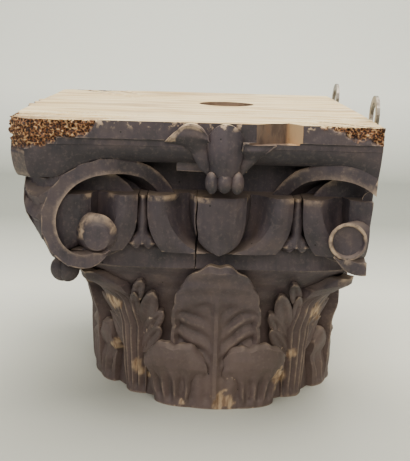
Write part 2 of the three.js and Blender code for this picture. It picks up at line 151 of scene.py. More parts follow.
@dataclass
class Shell:
    """A closed shell: its points in millimetres and its faces as index rows."""

    points: Array
    faces: list[tuple[int, ...]]

    def turned(self, face: Face) -> "Shell":
        """Gives the shell turned from the front to a face of the capital."""
        x, y, z = self.points.T
        for _ in range(face.value):
            x, y = -y, x
        return Shell(np.column_stack([x, y, z]), self.faces)

    def mirrored(self) -> "Shell":
        """Gives the shell mirrored left to right, its faces still pointing out."""
        flipped = [tuple(reversed(f)) for f in self.faces]
        return Shell(self.points * [-1.0, 1.0, 1.0], flipped)

    def outward(self) -> "Shell":
        """Gives the shell with its faces pointing out, by the sign of its volume."""
        total = 0.0
        for k in range(1, max(len(f) for f in self.faces) - 1):
            pairs = [(f[0], f[k], f[k + 1]) for f in self.faces if len(f) > k + 1]
            a, b, c = (self.points[np.array(side)] for side in zip(*pairs))
            total += float(np.einsum("ij,ij->i", a, np.cross(b, c)).sum())
        if total < 0.0:
            return Shell(self.points, [tuple(reversed(f)) for f in self.faces])
        return self


def grid_faces(wide: int, tall: int, start: int, flip: bool) -> list[tuple[int, ...]]:
    """Lists the quads of a grid of (wide + 1) by (tall + 1) points from an index on."""
    i, j = np.meshgrid(np.arange(wide), np.arange(tall), indexing="ij")
    a = start + i * (tall + 1) + j
    quads = np.stack([a, a + tall + 1, a + tall + 2, a + 1], axis=-1).reshape(-1, 4)
    return [tuple(q) for q in (quads[:, ::-1] if flip else quads).tolist()]


def sheet(columns: int | Array, rows: int | Array, put: Put) -> Shell:
    """A closed sheet with a front, a back and a rim of quads between them.

    Args:
        columns: How many quads across, or the places across, each from 0 to 1.
        rows: How many quads up, or the places up.
        put: Gives the point for arrays of across, up and out, which is 0 on the back
            and 1 on the front.

    Returns:
        The closed shell.
    """
    across = np.linspace(0.0, 1.0, columns + 1) if isinstance(columns, int) else columns
    up = np.linspace(0.0, 1.0, rows + 1) if isinstance(rows, int) else rows
    u, v = (side.ravel() for side in np.meshgrid(across, up, indexing="ij"))
    front = put(u, v, np.ones_like(u))
    back = put(u, v, np.zeros_like(u))
    wide, tall, count = len(across) - 1, len(up) - 1, len(u)
    faces = grid_faces(wide, tall, 0, False) + grid_faces(wide, tall, count, True)
    along = [i * (tall + 1) for i in range(wide + 1)]
    rim = along + [wide * (tall + 1) + j for j in range(1, tall + 1)]
    rim += [i + tall for i in reversed(along[:-1])] + list(range(tall - 1, 0, -1))
    following = rim[1:] + rim[:1]
    faces += [(b, a, a + count, b + count) for a, b in zip(rim, following)]
    return Shell(np.vstack([front, back]), faces).outward()


def loft(rings: Array) -> Shell:
    """A closed shell through rings of points, with a fan of triangles over each end.

    Args:
        rings: Points by ring and place round it: an array of rings by points by 3.

    Returns:
        The closed shell.
    """
    count, around = rings.shape[:2]
    i, j = np.meshgrid(np.arange(count - 1), np.arange(around), indexing="ij")
    beside = (j + 1) % around
    quads = [i * around + j, (i + 1) * around + j, (i + 1) * around + beside, i * around + beside]
    faces = [tuple(q) for q in np.stack(quads, axis=-1).reshape(-1, 4).tolist()]
    points = np.vstack([rings.reshape(-1, 3), rings[0].mean(axis=0), rings[-1].mean(axis=0)])
    low, high = len(points) - 2, len(points) - 1
    start = (count - 1) * around
    faces += [(low, k, (k + 1) % around) for k in range(around)]
    faces += [(high, start + (k + 1) % around, start + k) for k in range(around)]
    return Shell(points, faces).outward()


def to_object(name: str, shells: Sequence[Shell], cut: Cut = Cut.CARVED) -> bpy.types.Object:
    """Makes one mesh object of shells, in metres, at the origin, with its faces marked by cut."""
    points, faces, start = [], [], 0
    for shell in shells:
        points.append(shell.points * MM)
        faces += [tuple(index + start for index in face) for face in shell.faces]
        start += len(shell.points)
    mesh = bpy.data.meshes.new(name)
    mesh.from_pydata(np.vstack(points), [], faces)
    layer = mesh.attributes.new(CUT_LAYER, "FLOAT", "FACE")
    layer.data.foreach_set("value", np.full(len(faces), float(cut.value), dtype=np.float32))
    thing = bpy.data.objects.new(name, mesh)
    bpy.context.scene.collection.objects.link(thing)
    return thing


def combine(base: bpy.types.Object, shells: Sequence[Shell], operation: str,
            mark: Cut = Cut.CARVED) -> None:
    """Joins closed shells to an object, or cuts them from it, one after another.

    Args:
        base: The object that keeps the result.
        shells: What is joined to it or cut from it.
        operation: UNION or DIFFERENCE.
        mark: What the new faces are marked with.
    """
    for shell in shells:
        other = to_object("operand", [shell], mark)
        cut = base.modifiers.new("cut", "BOOLEAN")
        cut.operation = operation
        cut.solver = "MANIFOLD"
        cut.object = other
        graph = bpy.context.evaluated_depsgraph_get()
        mesh = bpy.data.meshes.new_from_object(base.evaluated_get(graph))
        base.modifiers.remove(cut)
        old = base.data
        base.data = mesh
        bpy.data.meshes.remove(old)
        used = other.data
        bpy.data.objects.remove(other)
        bpy.data.meshes.remove(used)


# The capital's sizes, in millimetres


@dataclass
class Courses:
    """Heights of the courses and the half widths of the core and the abacus."""

    bell: float = 167.0
    lip: float = 22.0
    echinus: float = 58.0
    recess: float = 19.0
    abacus: float = 60.0
    bell_half: float = 128.0
    lip_half: float = 167.0
    recess_half: float = 150.0
    abacus_half: float = 215.0
    abacus_clip: float = 16.0

    @property
    def lip_top(self) -> float:
        """Height of the lip's upper edge."""
        return self.bell + self.lip

    @property
    def echinus_top(self) -> float:
        """Height of the echinus' flat top."""
        return self.lip_top + self.echinus

    @property
    def abacus_bottom(self) -> float:
        """Height of the abacus' underside."""
        return self.echinus_top + self.recess

    @property
    def height(self) -> float:
        """Height of the sawn top."""
        return self.abacus_bottom + self.abacus


@dataclass
class Core:
    """The bell, its lip and the drum of the echinus, round below and square above."""

    courses: Courses
    segments: int = 144

    def __post_init__(self) -> None:
        """Sets the curves of the plan's half width and squareness against height."""
        c = self.courses
        rows = [
            (0.0, c.bell_half, 2.0),
            (0.24 * c.bell, c.bell_half - 3, 2.05),
            (0.48 * c.bell, c.bell_half - 5, 2.2),
            (0.66 * c.bell, c.bell_half, 2.6),
            (0.81 * c.bell, mix(c.bell_half, c.lip_half, 0.3), 3.2),
            (0.91 * c.bell, mix(c.bell_half, c.lip_half, 0.62), 4.3),
            (c.bell, c.lip_half, 5.0),
            (c.lip_top, c.lip_half, 5.0),
            (c.lip_top + 2, c.lip_half - 2, 7.0),
            (c.echinus_top, c.lip_half - 2, 9.0),
        ]
        self.half = table(rows, 1)
        self.square = table(rows, 2)

    def radius(self, angle: Array, z: Array) -> Array:
        """Distance from the axis: half / (|cos|^n + |sin|^n)^(1/n), n from round to square."""
        n = self.square(z)
        total = np.abs(np.cos(angle)) ** n + np.abs(np.sin(angle)) ** n
        return self.half(z) / total ** (1.0 / n)

    def front(self, s: Array, z: Array) -> Array:
        """Distance of the surface in front of the axis at a place across the face."""
        n = self.square(z)
        return np.maximum(self.half(z) ** n - np.abs(s) ** n, 1.0) ** (1.0 / n)

    def shell(self) -> Shell:
        """The closed core, from the underside to inside the abacus."""
        c = self.courses
        low = np.linspace(0.0, c.bell, 36)
        lip = np.linspace(c.bell + 0.6, c.lip_top, 8)
        drum = [c.lip_top + 0.8, c.lip_top + 2.0, c.lip_top + 20, c.lip_top + 40, c.echinus_top]
        top = c.abacus_bottom + c.abacus / 2
        levels = np.concatenate([low, lip, drum, [c.echinus_top, top]])
        turn = np.linspace(0.0, 2.0 * math.pi, self.segments, endpoint=False)
        z, angle = np.meshgrid(levels, turn, indexing="ij")
        radius = self.radius(angle, np.minimum(z, c.echinus_top))
        bead = 1.4 * smooth(z, c.bell - 4, c.bell) * (1 - smooth(z, c.bell + 1, c.bell + 5))
        radius = radius + bead
        radius[-2:] *= c.recess_half / c.lip_half
        rings = np.stack([radius * np.cos(angle), radius * np.sin(angle), z], axis=-1)
        return loft(rings)


@dataclass
class Abacus:
    """The square slab on top: fascia, step and hollow, with eaten corners at the front."""

    courses: Courses
    fascia: float = 18.0
    step: float = 7.0
    step_inset: float = 4.0
    hollow_inset: float = 34.0
    hollow_lift: float = 16.0
    spare: float = 2.0
    fine: float = 1.5
    coarse: float = 6.0

    def plan(self) -> tuple[Array, Array]:
        """Places round the clipped square, close together where worms ate it.

        Returns:
            The places, and how near a corner each is from 0 to 1.
        """
        c = self.courses
        reach = c.abacus_half - c.abacus_clip
        spots, near = [], []
        for face in Face:
            across = self.spacing(face, reach)
            s, w = across, np.full_like(across, -c.abacus_half)
            for _ in range(face.value):
                s, w = -w, s
            spots.append(np.column_stack([s, w]))
            near.append(np.abs(across) / reach)
        return np.vstack(spots), np.concatenate(near)

    def spacing(self, face: Face, reach: float) -> Array:
        """Places across a face: fine steps in the worm-eaten stretches, coarse elsewhere."""
        if face is Face.FRONT:
            eaten = [np.arange(-reach, -118.0, self.fine), np.arange(-118.0, 82.0, self.coarse),
                     np.arange(82.0, 170.0, self.fine), np.linspace(172.0, reach, 4)]
            return np.concatenate(eaten)
        if face is Face.LEFT:
            return np.concatenate([np.arange(-reach, 150.0, self.coarse),
                                   np.arange(150.0, reach, self.fine), [reach]])
        return np.linspace(-reach, reach, 60)

    def shell(self) -> Shell:
        """The closed slab: rings at the moulding's levels, each a scaled plan."""
        c = self.courses
        plan, near = self.plan()
        depth = self.fascia + self.step
        hollow = c.abacus - depth
        sweep = np.linspace(0.0, 1.0, 13)[1:]
        inset = mix(self.step_inset, self.hollow_inset, 1 - np.sqrt(1 - 0.94 * sweep ** 1.6))
        rows = [(-self.spare, 0.0)] + [(drop, 0.0) for drop in np.linspace(0.6, self.fascia, 14)]
        rows += [(self.fascia + 0.6, self.step_inset - 0.6), (self.fascia + 1.4, self.step_inset)]
        rows += [(self.fascia + 4.0, self.step_inset), (depth, self.step_inset),
                 (depth + 0.6, self.step_inset + 1.4)]
        rows += [(depth + hollow * d, i + 1.4) for d, i in zip(sweep, inset)]
        rings = []
        for drop, inward in rows:
            eased = mix(1.0, 0.3, smooth(near, 0.62, 1.0))
            shrink = 1.0 - inward * eased / c.abacus_half
            down = np.clip((drop - depth) / hollow, 0.0, 1.0)
            z = c.height - drop + self.hollow_lift * down * (1 - smooth(near, 0.5, 0.95))
            rings.append(np.column_stack([plan * shrink[:, None], z]))
        shell = loft(np.array(rings))
        shell.points = self.eat(shell.points)
        return shell

    def wormy(self, points: Array) -> Array:
        """How far worms have eaten each place, from 0 to 1: the two front corners."""
        c = self.courses
        x, y, z = points.T
        ragged = 5.0 * lattice_noise(points, 9.0, 3) + 2.5 * lattice_noise(points, 4.0, 4)
        drop = c.height - z
        left_depth = np.interp(x, [-216, -196, -170, -130, -122], [34, 30, 24, 12, -6])
        side_depth = np.interp(y, [-216, -190, -165, -140], [34, 26, 12, -6])
        left = smooth(np.where(x < -208, side_depth, left_depth) - drop + ragged, -1.0, 3.0)
        left *= x < -100
        right_depth = np.interp(x, [84, 112, 140, 161], [-5, 7, 15, 19])
        right = smooth(right_depth - drop + ragged, -1.0, 3.0) * (x > 76) * (y < -100)
        return np.maximum(left, right)

    def chipped(self, points: Array) -> Array:
        """How fresh the wood is at each place, from 0 to 1: chips knocked off the leaves.

        Each row gives a chip's middle in x and z, and half its width and height.
        """
        x, y, z = points.T
        ragged = 0.5 * lattice_noise(points, 6.0, 41) + 0.35 * lattice_noise(points, 2.5, 42)
        rows = [(-87, 34, 6, 11), (-75, 22, 3, 3), (10, 10, 12, 11), (74, 30, 8, 13), (-36, 6, 4, 4),
                (-118, 104, 9, 8), (-114, 48, 8, 6), (116, 100, 9, 13), (88, 52, 5, 5)]
        fresh = np.zeros(len(points))
        for middle, height, wide, tall in rows:
            away = np.hypot((x - middle) / wide, (z - height) / tall)
            fresh = np.maximum(fresh, smooth(1.0 - away + ragged, -0.1, 0.25))
        return fresh * (y < -60)

    def rubbed_and_highlit(self, points: Array) -> Array:
        """How light each place on the front is painted, from 0 to 1: rims that hands and time wore, partly
        painted highlights, on the eyes' upper crescents, the volute band's left edge and the fleuron's lobe,
        and a painted highlight along the echinus' top edge.

        Each row gives a ring's middle in x and z, its radii, the turns where it starts and ends, in
        degrees from the right, and how far out the wood has to stand.
        """
        x, y, z = points.T
        rows = [(-125, 208, 14, 20.5, 0, 205, 195), (131, 208, 16, 19.6, 0, 250, 197),
                (-125, 205, 59, 63, 170, 285, 197), (-32, 306, 15, 23, 40, 215, 217)]
        worn_and_highlit = np.zeros(len(points))
        for middle, height, inner, outer, low, high, out in rows:
            away = np.hypot(x - middle, z - height)
            turn = np.degrees(np.arctan2(z - height, x - middle)) % 360.0
            ring = (away > inner) & (away < outer) & (y < -out)
            ends = smooth(turn, low - 1, low + 20) * (1 - smooth(turn, high - 20, high + 1))
            worn_and_highlit = np.maximum(worn_and_highlit, ring * ends)
        # A painted highlight: a thin light line along the echinus' top edge, where the top light catches it.
        crest = np.abs(z - self.courses.echinus_top) < 1.8
        crest = crest * smooth(lattice_noise(points, 25.0, 51), -0.4, 0.3)
        return np.maximum(worn_and_highlit, 0.9 * crest) * (y < -178)

    def eat(self, points: Array) -> Array:
        """Pits the worm-eaten places and makes the straight edges a little uneven."""
        c = self.courses
        x, y, z = points.T
        size = np.maximum(np.hypot(x, y), 1.0)
        outward = np.column_stack([x / size, y / size, np.zeros_like(x)])
        mask = self.wormy(points) * (size > 100)
        pits = lattice_noise(points, 3.2, 11) + 0.7 * lattice_noise(points, 1.9, 12)
        depth = mask * (3.2 + 3.4 * pits)
        wobble = 0.9 * lattice_noise(points, 60.0, 21) + 0.35 * lattice_noise(points, 14.0, 22)
        wobble *= (size > 150)
        moved = points + outward * (wobble - np.maximum(depth, -0.5))[:, None]
        moved[:, 2] -= mask * (z > c.height) * (self.spare + 1.5 + 1.2 * pits)
        return moved


@dataclass
class Echinus:
    """The egg-and-dart course: eggs in shells, with tongues between them."""

    courses: Courses
    pitch: float = 160.0
    egg_front: float = 201.0
    side_egg_front: float = 196.0
    egg_half: float = 28.0
    shell_half: float = 75.0
    valley: float = 168.0
    shell_front: float = 193.0
    dart_front: float = 186.0
    back: float = 140.0

    def egg(self, middle: float, side: int, sunk: float = 0.0) -> Shell:
        """One egg in its shell, or the part of one that shows beside a volute.

        The places across go by contours: the egg's edge, the valley, the crest of the shell and
        its outer edge, which all draw in towards the foot as an egg's outline does.

        Args:
            middle: Where the egg's middle is, across the face.
            side: 0 for the whole egg, or the sign of the side that is made in full.
            sunk: How much further in it lies than its fellows.

        Returns:
            The closed shell.
        """
        c = self.courses
        contour = np.array([0, 0.14, 0.28, 0.4, 0.48, 0.5, 0.53, 0.58, 0.63, 0.68, 0.7, 0.8, 0.9, 1])
        part = np.unique(np.concatenate([contour, np.linspace(0.0, 1.0, 31)]))
        places = np.concatenate([-part[:0:-1], part]) if side == 0 else side * part
        if side != 0:
            inner = -side * np.linspace(0.48, 0.0, 16)
            places = np.concatenate([inner[:-1], places])
            places = np.sort(places)
        front = self.egg_front if side == 0 else self.side_egg_front - sunk
        crest = 1.3 if side == 0 else 0.7
        reach = table([(0, front, 0), (0.14, front - 0.6, 0), (0.28, front - 2.6, 0),
                       (0.4, front - 6, 0), (0.48, front - 10, 0), (0.5, front - 18, 0),
                       (0.53, self.valley, 0), (0.58, self.valley + 5, 0),
                       (0.68, self.shell_front - 3, 0), (0.7, self.shell_front, 0),
                       (0.8, self.shell_front + 1.5, 0), (0.92, self.shell_front - 1, 0),
                       (1.0, self.shell_front - 5, 0)], 1)

        def put(u: Array, v: Array, out: Array) -> Array:
            a = np.interp(u, np.linspace(0, 1, len(places)), places)
            drop = 1.0 - v
            p = np.abs(a)
            inner = 0.76 * self.shell_half * np.maximum(0.03, 1 - drop ** 2) ** 0.4
            egg = self.egg_half * np.sqrt(np.maximum(0, 1 - (drop / 1.01) ** 3.8))
            egg = np.minimum(egg, inner)
            outer = self.shell_half * (1 - 0.21 * drop ** 3.5)
            s = np.where(p <= 0.5, mix(0.0, egg, p / 0.5),
                         np.where(p <= 0.7, mix(egg, inner, (p - 0.5) / 0.2),
                                  mix(inner, outer, (p - 0.7) / 0.3)))
            closed = smooth(drop, 0.93, 1.0)
            w = reach(p)
            w = np.where((p > 0.5) & (p < 0.7), mix(w, self.shell_front - 2, closed), w)
            w = w - 5.0 * drop ** 2 - 1.2 * smooth(v, 0.965, 1.0)
            z = mix(c.lip_top - 1, c.echinus_top + crest, v)
            return np.column_stack([middle + np.sign(a) * s, -np.where(out > 0.5, w, self.back), z])

        tall = np.concatenate([np.linspace(0.0, 0.34, 14)[:-1], np.linspace(0.34, 0.96, 10), [0.985, 1.0]])
        return sheet(np.linspace(0.0, 1.0, len(places)), tall, put)

    def dart(self, middle: float) -> Shell:
        """The tongue between two shells, with the small tulip foot that it stands on."""
        c = self.courses
        half = table([(0, 12, 0), (0.1, 15.5, 0), (0.2, 12, 0), (0.27, 7, 0), (0.34, 5, 0),
                      (0.55, 6, 0), (1, 4, 0)], 1)

        def put(u: Array, v: Array, out: Array) -> Array:
            k = 2.0 * u - 1.0
            notch = 5.0 * (1 - smooth(np.abs(k), 0.1, 0.45)) * (1 - smooth(v, 0.0, 0.12))
            fold = 1.2 * (1 - smooth(v, 0.12, 0.3)) * np.cos(3 * math.pi * k)
            w = self.dart_front - 6.0 * k * k + fold - 8.0 * (1 - smooth(v, 0.02, 0.1)) * np.abs(k)
            z = mix(c.lip_top + 1, c.echinus_top + 0.4, v) + notch * (v < 0.2)
            return np.column_stack([middle + half(v) * k, -np.where(out > 0.5, w, self.back), z])

        return sheet(12, 30, put)


@dataclass
class Volute:
    """A spiral on both faces of a corner, the scaled scroll between them, and a bud below."""

    courses: Courses
    front: float = 204.0
    eye_side: float = 125.0
    eye_rise: float = 16.0
    eye_radius: float = 20.0
    eye_bevel: float = 6.0
    start: float = 105.0
    rate: float = 0.28
    limit: float = 90.0
    band: float = 16.0
    band_sink: float = 38.0
    lean: float = 24.0
    slot: float = 4.0
    first: float = 26.0
    final: float = 318.0
    scale_pitch: float = 21.0
    scale_rise: float = 8.0
    bud_radius: float = 16.0
    bud_inset: float = 2.5

    @property
    def eye_height(self) -> float:
        """Height of the spiral's middle."""
        return self.courses.lip_top + self.eye_rise

    def outer(self, turn: Array) -> Array:
        """Radius of the spiral's outer edge: it falls evenly with the turn, in degrees."""
        return np.clip(self.start - self.rate * turn, self.eye_radius, self.limit)

    def across(self, side: Array, front: Array, z: Array, share: Array) -> Array:
        """Goes straight from a point of the front face to its mirror image on the next face.

        The next face leans in at its foot, as the scaled back of the scroll narrows there.
        """
        lean = self.lean * (1.0 - smooth(z, self.eye_height - 26, self.eye_height + 36))
        x = mix(-side, lean - front, share)
        y = mix(-front, -side, share)
        return np.stack(np.broadcast_arrays(x, y, z), axis=-1)

    def scroll(self, steps: int, wide: int) -> Shell:
        """The spiral band. Its section goes round the front, the scaled back and the inside."""
        turn = np.linspace(self.first, self.final, steps)
        rounding = np.array([(0, 0.0), (0, 0.5), (0, 0.84), (0.012, 0.96), (0.035, 1.0)])
        middle = np.linspace(0.06, 0.94, wide)
        back = np.column_stack([middle, np.ones(wide)])
        other = (rounding * [-1, 1] + [1, 0])[::-1]
        inside = np.column_stack([np.linspace(0.97, 0.03, 6), np.zeros(6)])
        section = np.vstack([rounding, back, other, inside])
        share, part = section.T
        t = turn[:, None]
        outer = self.outer(t)
        edge = self.eye_radius - mix(self.slot, 1.0, smooth(t, 275.0, 310.0))
        inner = np.minimum(np.maximum(outer - self.band, edge), outer - 1.5)
        radius = inner + (outer - inner) * part
        length = np.cumsum(np.concatenate([[0.0], np.diff(np.radians(turn)) * self.outer(turn[1:])]))
        crossing = np.abs(2.0 * share - 1.0)
        phase = (length[:, None] / self.scale_pitch + 0.45 * crossing ** 2) % 1.0
        on_back = (part > 0.99) * smooth(1.0 - crossing, 0.02, 0.16)
        saw = np.minimum(phase / 0.9, (1.0 - phase) / 0.1)
        radius = radius + on_back * (self.scale_rise * (saw - 0.85) + 1.0 - crossing)
        hollow = np.where(share < 0.02, 1.4 * np.sin(math.pi * np.clip(part, 0, 1)), 0.0)
        angle = np.radians(t)
        side = self.eye_side - radius * np.cos(angle)
        z = self.eye_height + radius * np.sin(angle)
        sink = self.band_sink * (1.0 - smooth(t, self.first, 90.0))
        front = self.front - hollow - sink
        return loft(self.across(side, front, z, np.broadcast_to(share, radius.shape)))

    def lump(self, side: float, front: float, z: float, half: float, tall: float,
             rim: Sequence[tuple[float, float, float]]) -> Shell:
        """An oval boss on both faces, joined across the corner.

        Args:
            side: Where its middle is across the face.
            front: How far out its face stands.
            z: Its middle's height.
            half: Half its width.
            tall: Half its height.
            rim: Rows of share of the size, how far back, and how far down, for its rings.

        Returns:
            The closed shell.
        """
        turn = np.linspace(0.0, 2.0 * math.pi, 48, endpoint=False)
        both = [(0.0, *row) for row in rim] + [(1.0, *row) for row in reversed(rim)]
        rings = []
        for share, part, deep, down in both:
            place = side + part * half * np.cos(turn)
            height = z - down + part * tall * np.sin(turn)
            rings.append(self.across(place, np.full_like(turn, front - deep), height,
                                     np.full_like(turn, share)))
        return loft(np.array(rings))

    def bud(self) -> Shell:
        """The small three-lobed bud below: a ball whose radius dips in grooves."""
        down = np.linspace(0.03, math.pi - 0.03, 22)
        turn = np.linspace(0.0, 2.0 * math.pi, 42, endpoint=False)
        phi, theta = np.meshgrid(down, turn, indexing="ij")
        groove = np.abs(np.cos(1.5 * (theta + 0.9)))
        radius = self.bud_radius * (0.8 + 0.22 * groove ** 0.5 * np.sin(phi) ** 0.7)
        out = (self.front + self.eye_side) / 2.0 - self.bud_inset
        x = -out + radius * np.sin(phi) * np.cos(theta)
        y = -out + radius * np.sin(phi) * np.sin(theta)
        z = self.courses.bell - 5 + radius * np.cos(phi) * 1.02
        return loft(np.stack([x, y, z], axis=-1))

    def shells(self, fine: bool, plugged: bool) -> list[Shell]:
        """The scroll, the eye and the wood behind them, on the front's left corner.

        Args:
            fine: Whether it is seen from near.
            plugged: Whether it is the one beside the sawn back, whose eye is a hollowed ring and
                whose wood reaches further out.

        Returns:
            The closed shells.
        """
        b = self.eye_bevel
        rim = [(0.2, -0.6, 3.5), (0.5, -0.4, 3.5), (0.64, 0.0, 3.5), (0.68, 0.8, 3.2),
               (0.74, 2.0, 2.6), (0.96, b + 1.4, 0.4), (1.0, b + 3.0, 0.0)]
        if plugged:
            rim = [(0.2, b, 0.0), (0.6, b, 0.0), (0.76, b - 1.0, 0.0), (0.81, 0.8, 0.0),
                   (0.85, 0.0, 0.0), (0.95, 0.0, 0.0), (1.0, 1.6, 0.0)]
        eye = self.lump(self.eye_side, self.front, self.eye_height + 3, self.eye_radius,
                        self.eye_radius, rim)
        web = self.lump(self.eye_side + 5, 166.0, self.eye_height + 18, 46.0, 47.0, [(1.0, 0.0, 0.0)])
        shells = [self.scroll(130 if fine else 70, 24 if fine else 14), eye, web]
        if plugged:
            disc = [(share, 0.0, 0.0) for share in (0.3, 0.6, 0.85, 0.95, 1.0)]
            high = self.eye_height + 44
            shells.append(self.lump(self.eye_side + 32, 186.0, high, 18.0, 11.0, disc))
        return shells


@dataclass
class Leaves:
    """The acanthus leaves that lie on the bell and stand off it at their tips."""

    courses: Courses
    core: Core
    tall_half: float = 43.0
    tall_rise: float = 7.0
    low_half: float = 34.0
    low_height: float = 75.0
    low_turn: float = 17.5
    lost_lip: float = 14.0
    edge: float = 9.0
    lobe_rise: float = 9.0

    def leaf(self, centre: float, tip: float, grid: tuple[int, int], shape: Sequence[Sequence[float]],
             fold: float, hug: float, relief: Callable[[Array, Array], Array],
             arch: Callable[[Array, Array], Array], wide: Callable[[Array, Array], Array]) -> Shell:
        """A leaf whose points are taken round the bell by angle and off it by its stand.

        Args:
            centre: Its middle's direction from the axis, in degrees.
            tip: Its height.
            grid: Quads across and up.
            shape: Rows of share of the length, stand in front, stand behind and half width.
            fold: How far its sides fall back from its middle, in millimetres.
            hug: How far its edges bend to the bell.
            relief: Carving raised on its front, by place across from -1 to 1 and share up. It
                fades out at the underside.
            arch: How far its top edge drops, by the same.
            wide: A factor on its half width, for lobed edges.

        Returns:
            The closed shell.
        """
        front, back, half = (table(shape, k) for k in (1, 2, 3))
        base = math.radians(centre)

        def put(across: Array, up: Array, out: Array) -> Array:
            u = 2.0 * across - 1.0
            z = tip * up - arch(u, up)
            low = np.clip(z, 0.0, self.courses.bell)
            cut = smooth(z, 1.0, 14.0)
            carved = relief(u, up) * cut - hug * np.abs(u) ** 3 - fold * np.abs(u)
            stand = np.where(out > 0.5, front(up) + carved, back(up) - fold * np.abs(u))
            reach = self.core.radius(np.full_like(u, base), low) + 15.0
            angle = base + u * half(up) * wide(u, up) / reach
            radius = self.core.radius(angle, low) + stand
            return np.column_stack([radius * np.cos(angle), radius * np.sin(angle), z])

        return sheet(grid[0], grid[1], put)

    def tall(self, grid: tuple[int, int], seed: int) -> Shell:
        """The leaf in the middle of a face: a rib, fluted wings, a smooth lip leaning out."""
        phase = seed * 1.3

        def relief(u: Array, up: Array) -> Array:
            side = np.abs(u)
            top = 0.79 - 0.1 * side
            wing = smooth(side, 0.05, 0.13) * (1 - smooth(up, top - 0.07, top))
            rise = up - 0.15 * np.sqrt(side) - 0.06 * side + 0.012 * np.sin(7 * u + phase)
            wave = 0.5 - 0.5 * np.cos(2 * math.pi * 9.0 * rise + 0.8 * phase)
            flute = wave ** 1.3 * smooth(up, 0.16, 0.34)
            rim = smooth(side, 0.84, 0.93)
            long = 1.5 * np.cos(5 * math.pi * u) * (1 - smooth(up, 0.2, 0.4)) - 2.0
            ribs = wing * (1 - rim) * (long - 4.6 * flute * smooth(side, 0.05, 0.4) - 1.4 * flute)
            stem = 1.8 * (1 - smooth(side, 0.045, 0.09)) * (1 - smooth(up, 0.72, 0.86))
            lip = 0.8 * smooth(up, 0.85, 1.0) * np.cos(6 * u + phase)
            return ribs + stem + lip + 1.2 * rim

        def arch(u: Array, up: Array) -> Array:
            top = 24.0 * np.abs(u) ** 2.5 * up ** 4
            lobes = 0.9 * np.cos(2 * math.pi * 1.9 * (u - 0.05)) + 0.5 * np.cos(11 * u + phase)
            return top + lobes * up ** 10

        def wide(u: Array, up: Array) -> Array:
            nick = np.abs(np.sin(math.pi * (5.3 * up + 0.1 * phase)))
            return 1.0 - 0.05 * (1 - nick ** 0.5) * smooth(up, 0.2, 0.4)

        half = self.tall_half
        shape = [(0, 18, -8, 0.95 * half), (0.2, 24, -8, 1.05 * half), (0.4, 27, -8, 1.1 * half),
                 (0.58, 29, -8, 1.08 * half), (0.7, 30, 0, 1.04 * half), (0.85, 28, 10, 0.98 * half),
                 (0.95, 22, 22 - self.edge, 0.92 * half), (1, 18, 18 - self.edge, 0.88 * half)]
        return self.leaf(-90, self.courses.bell + self.tall_rise, grid, shape, 0, 6, relief, arch, wide)

    def low(self, turn: float, grid: tuple[int, int], seed: int, broken: bool) -> Shell:
        """A low leaf: upright flutes below a smooth, rounded and worn lip, or without its lip."""
        phase = seed * 1.7
        lost = self.lost_lip if broken else 0.0

        def relief(u: Array, up: Array) -> Array:
            fan = u * mix(1.25, 0.85, up) + 0.04 * np.sin(3 * phase)
            hollow = 0.5 - 0.5 * np.cos(2 * math.pi * 2.0 * fan)
            depth = mix(6.5, 0.0, smooth(up, 0.28, 0.68))
            flutes = -depth * hollow * (1 - smooth(np.abs(u), 0.84, 1.0))
            roll = 1.0 * smooth(up, 0.6, 0.85) * np.cos(5 * u + phase)
            return flutes + roll - 2.5 * smooth(up, 0.94, 1.0)

        def arch(u: Array, up: Array) -> Array:
            worn = 1.3 * np.cos(7 * u + phase) + 0.8 * np.cos(16 * u + 2 * phase)
            steps = 9.0 * smooth(np.sin(5 * u + 2), -0.1, 0.1) * broken
            return 13.0 * np.abs(u) ** 4 * up ** 3 + worn * up ** 6 + steps * up ** 4

        def wide(u: Array, up: Array) -> Array:
            return 1.0 - 0.04 * np.cos(2 * math.pi * (2.2 * up) + phase) * smooth(up, 0.1, 0.4)

        half = self.low_half
        shape = [(0, 18 - 0.3 * lost, -8, 0.84 * half), (0.35, 23 - 0.5 * lost, -8, 0.92 * half),
                 (0.55, 28 - lost, -8, 0.98 * half), (0.66, 31 - lost, -2, half),
                 (0.8, 33 - lost, 12 - lost, half), (0.93, 32 - lost, 18 - lost, 0.98 * half),
                 (1, 29 - lost, 29 - self.edge - lost, 0.94 * half)]
        return self.leaf(-90 + turn, self.low_height, grid, shape, 0, 7, relief, arch, wide)

    def corner(self, grid: tuple[int, int], seed: int) -> Shell:
        """A corner leaf: a folded stem with long flutes and a curled tip."""
        phase = seed * 0.9

        def relief(u: Array, up: Array) -> Array:
            groove = np.abs(np.sin(math.pi * (2.5 * u + 0.5)))
            flutes = -5.0 * groove ** 2 * (1 - smooth(up, 0.79, 0.85))
            return flutes + 1.2 * smooth(up, 0.84, 0.95) * np.cos(4 * u + phase)

        def arch(u: Array, up: Array) -> Array:
            return 9.0 * np.abs(u) ** 3 * up ** 4 + 1.2 * np.cos(7 * u + phase) * up ** 8

        def wide(u: Array, up: Array) -> Array:
            return 1.0 + 0.03 * np.sin(14 * up + phase)

        shape = [(0, 9, -8, 19), (0.25, 14, -8, 21), (0.5, 16, -8, 24), (0.78, 13, -8, 24),
                 (0.83, 16, -4, 24), (0.87, 24, 0, 26), (0.94, 26, 6, 25), (1, 18, 3, 21)]
        return self.leaf(-135, 0.93 * self.courses.bell, grid, shape, 5, 3, relief, arch, wide)

    def lobe(self, root: tuple[float, float], tip: tuple[float, float], half: float) -> Shell:
        """A side lobe of a corner leaf, from its root to its tip over the bell, grooved."""
        bell = self.courses.bell
        run = np.array([tip[0] - root[0], (tip[1] - root[1]) * bell])
        normal = np.array([run[1], -run[0]]) / np.hypot(*run)

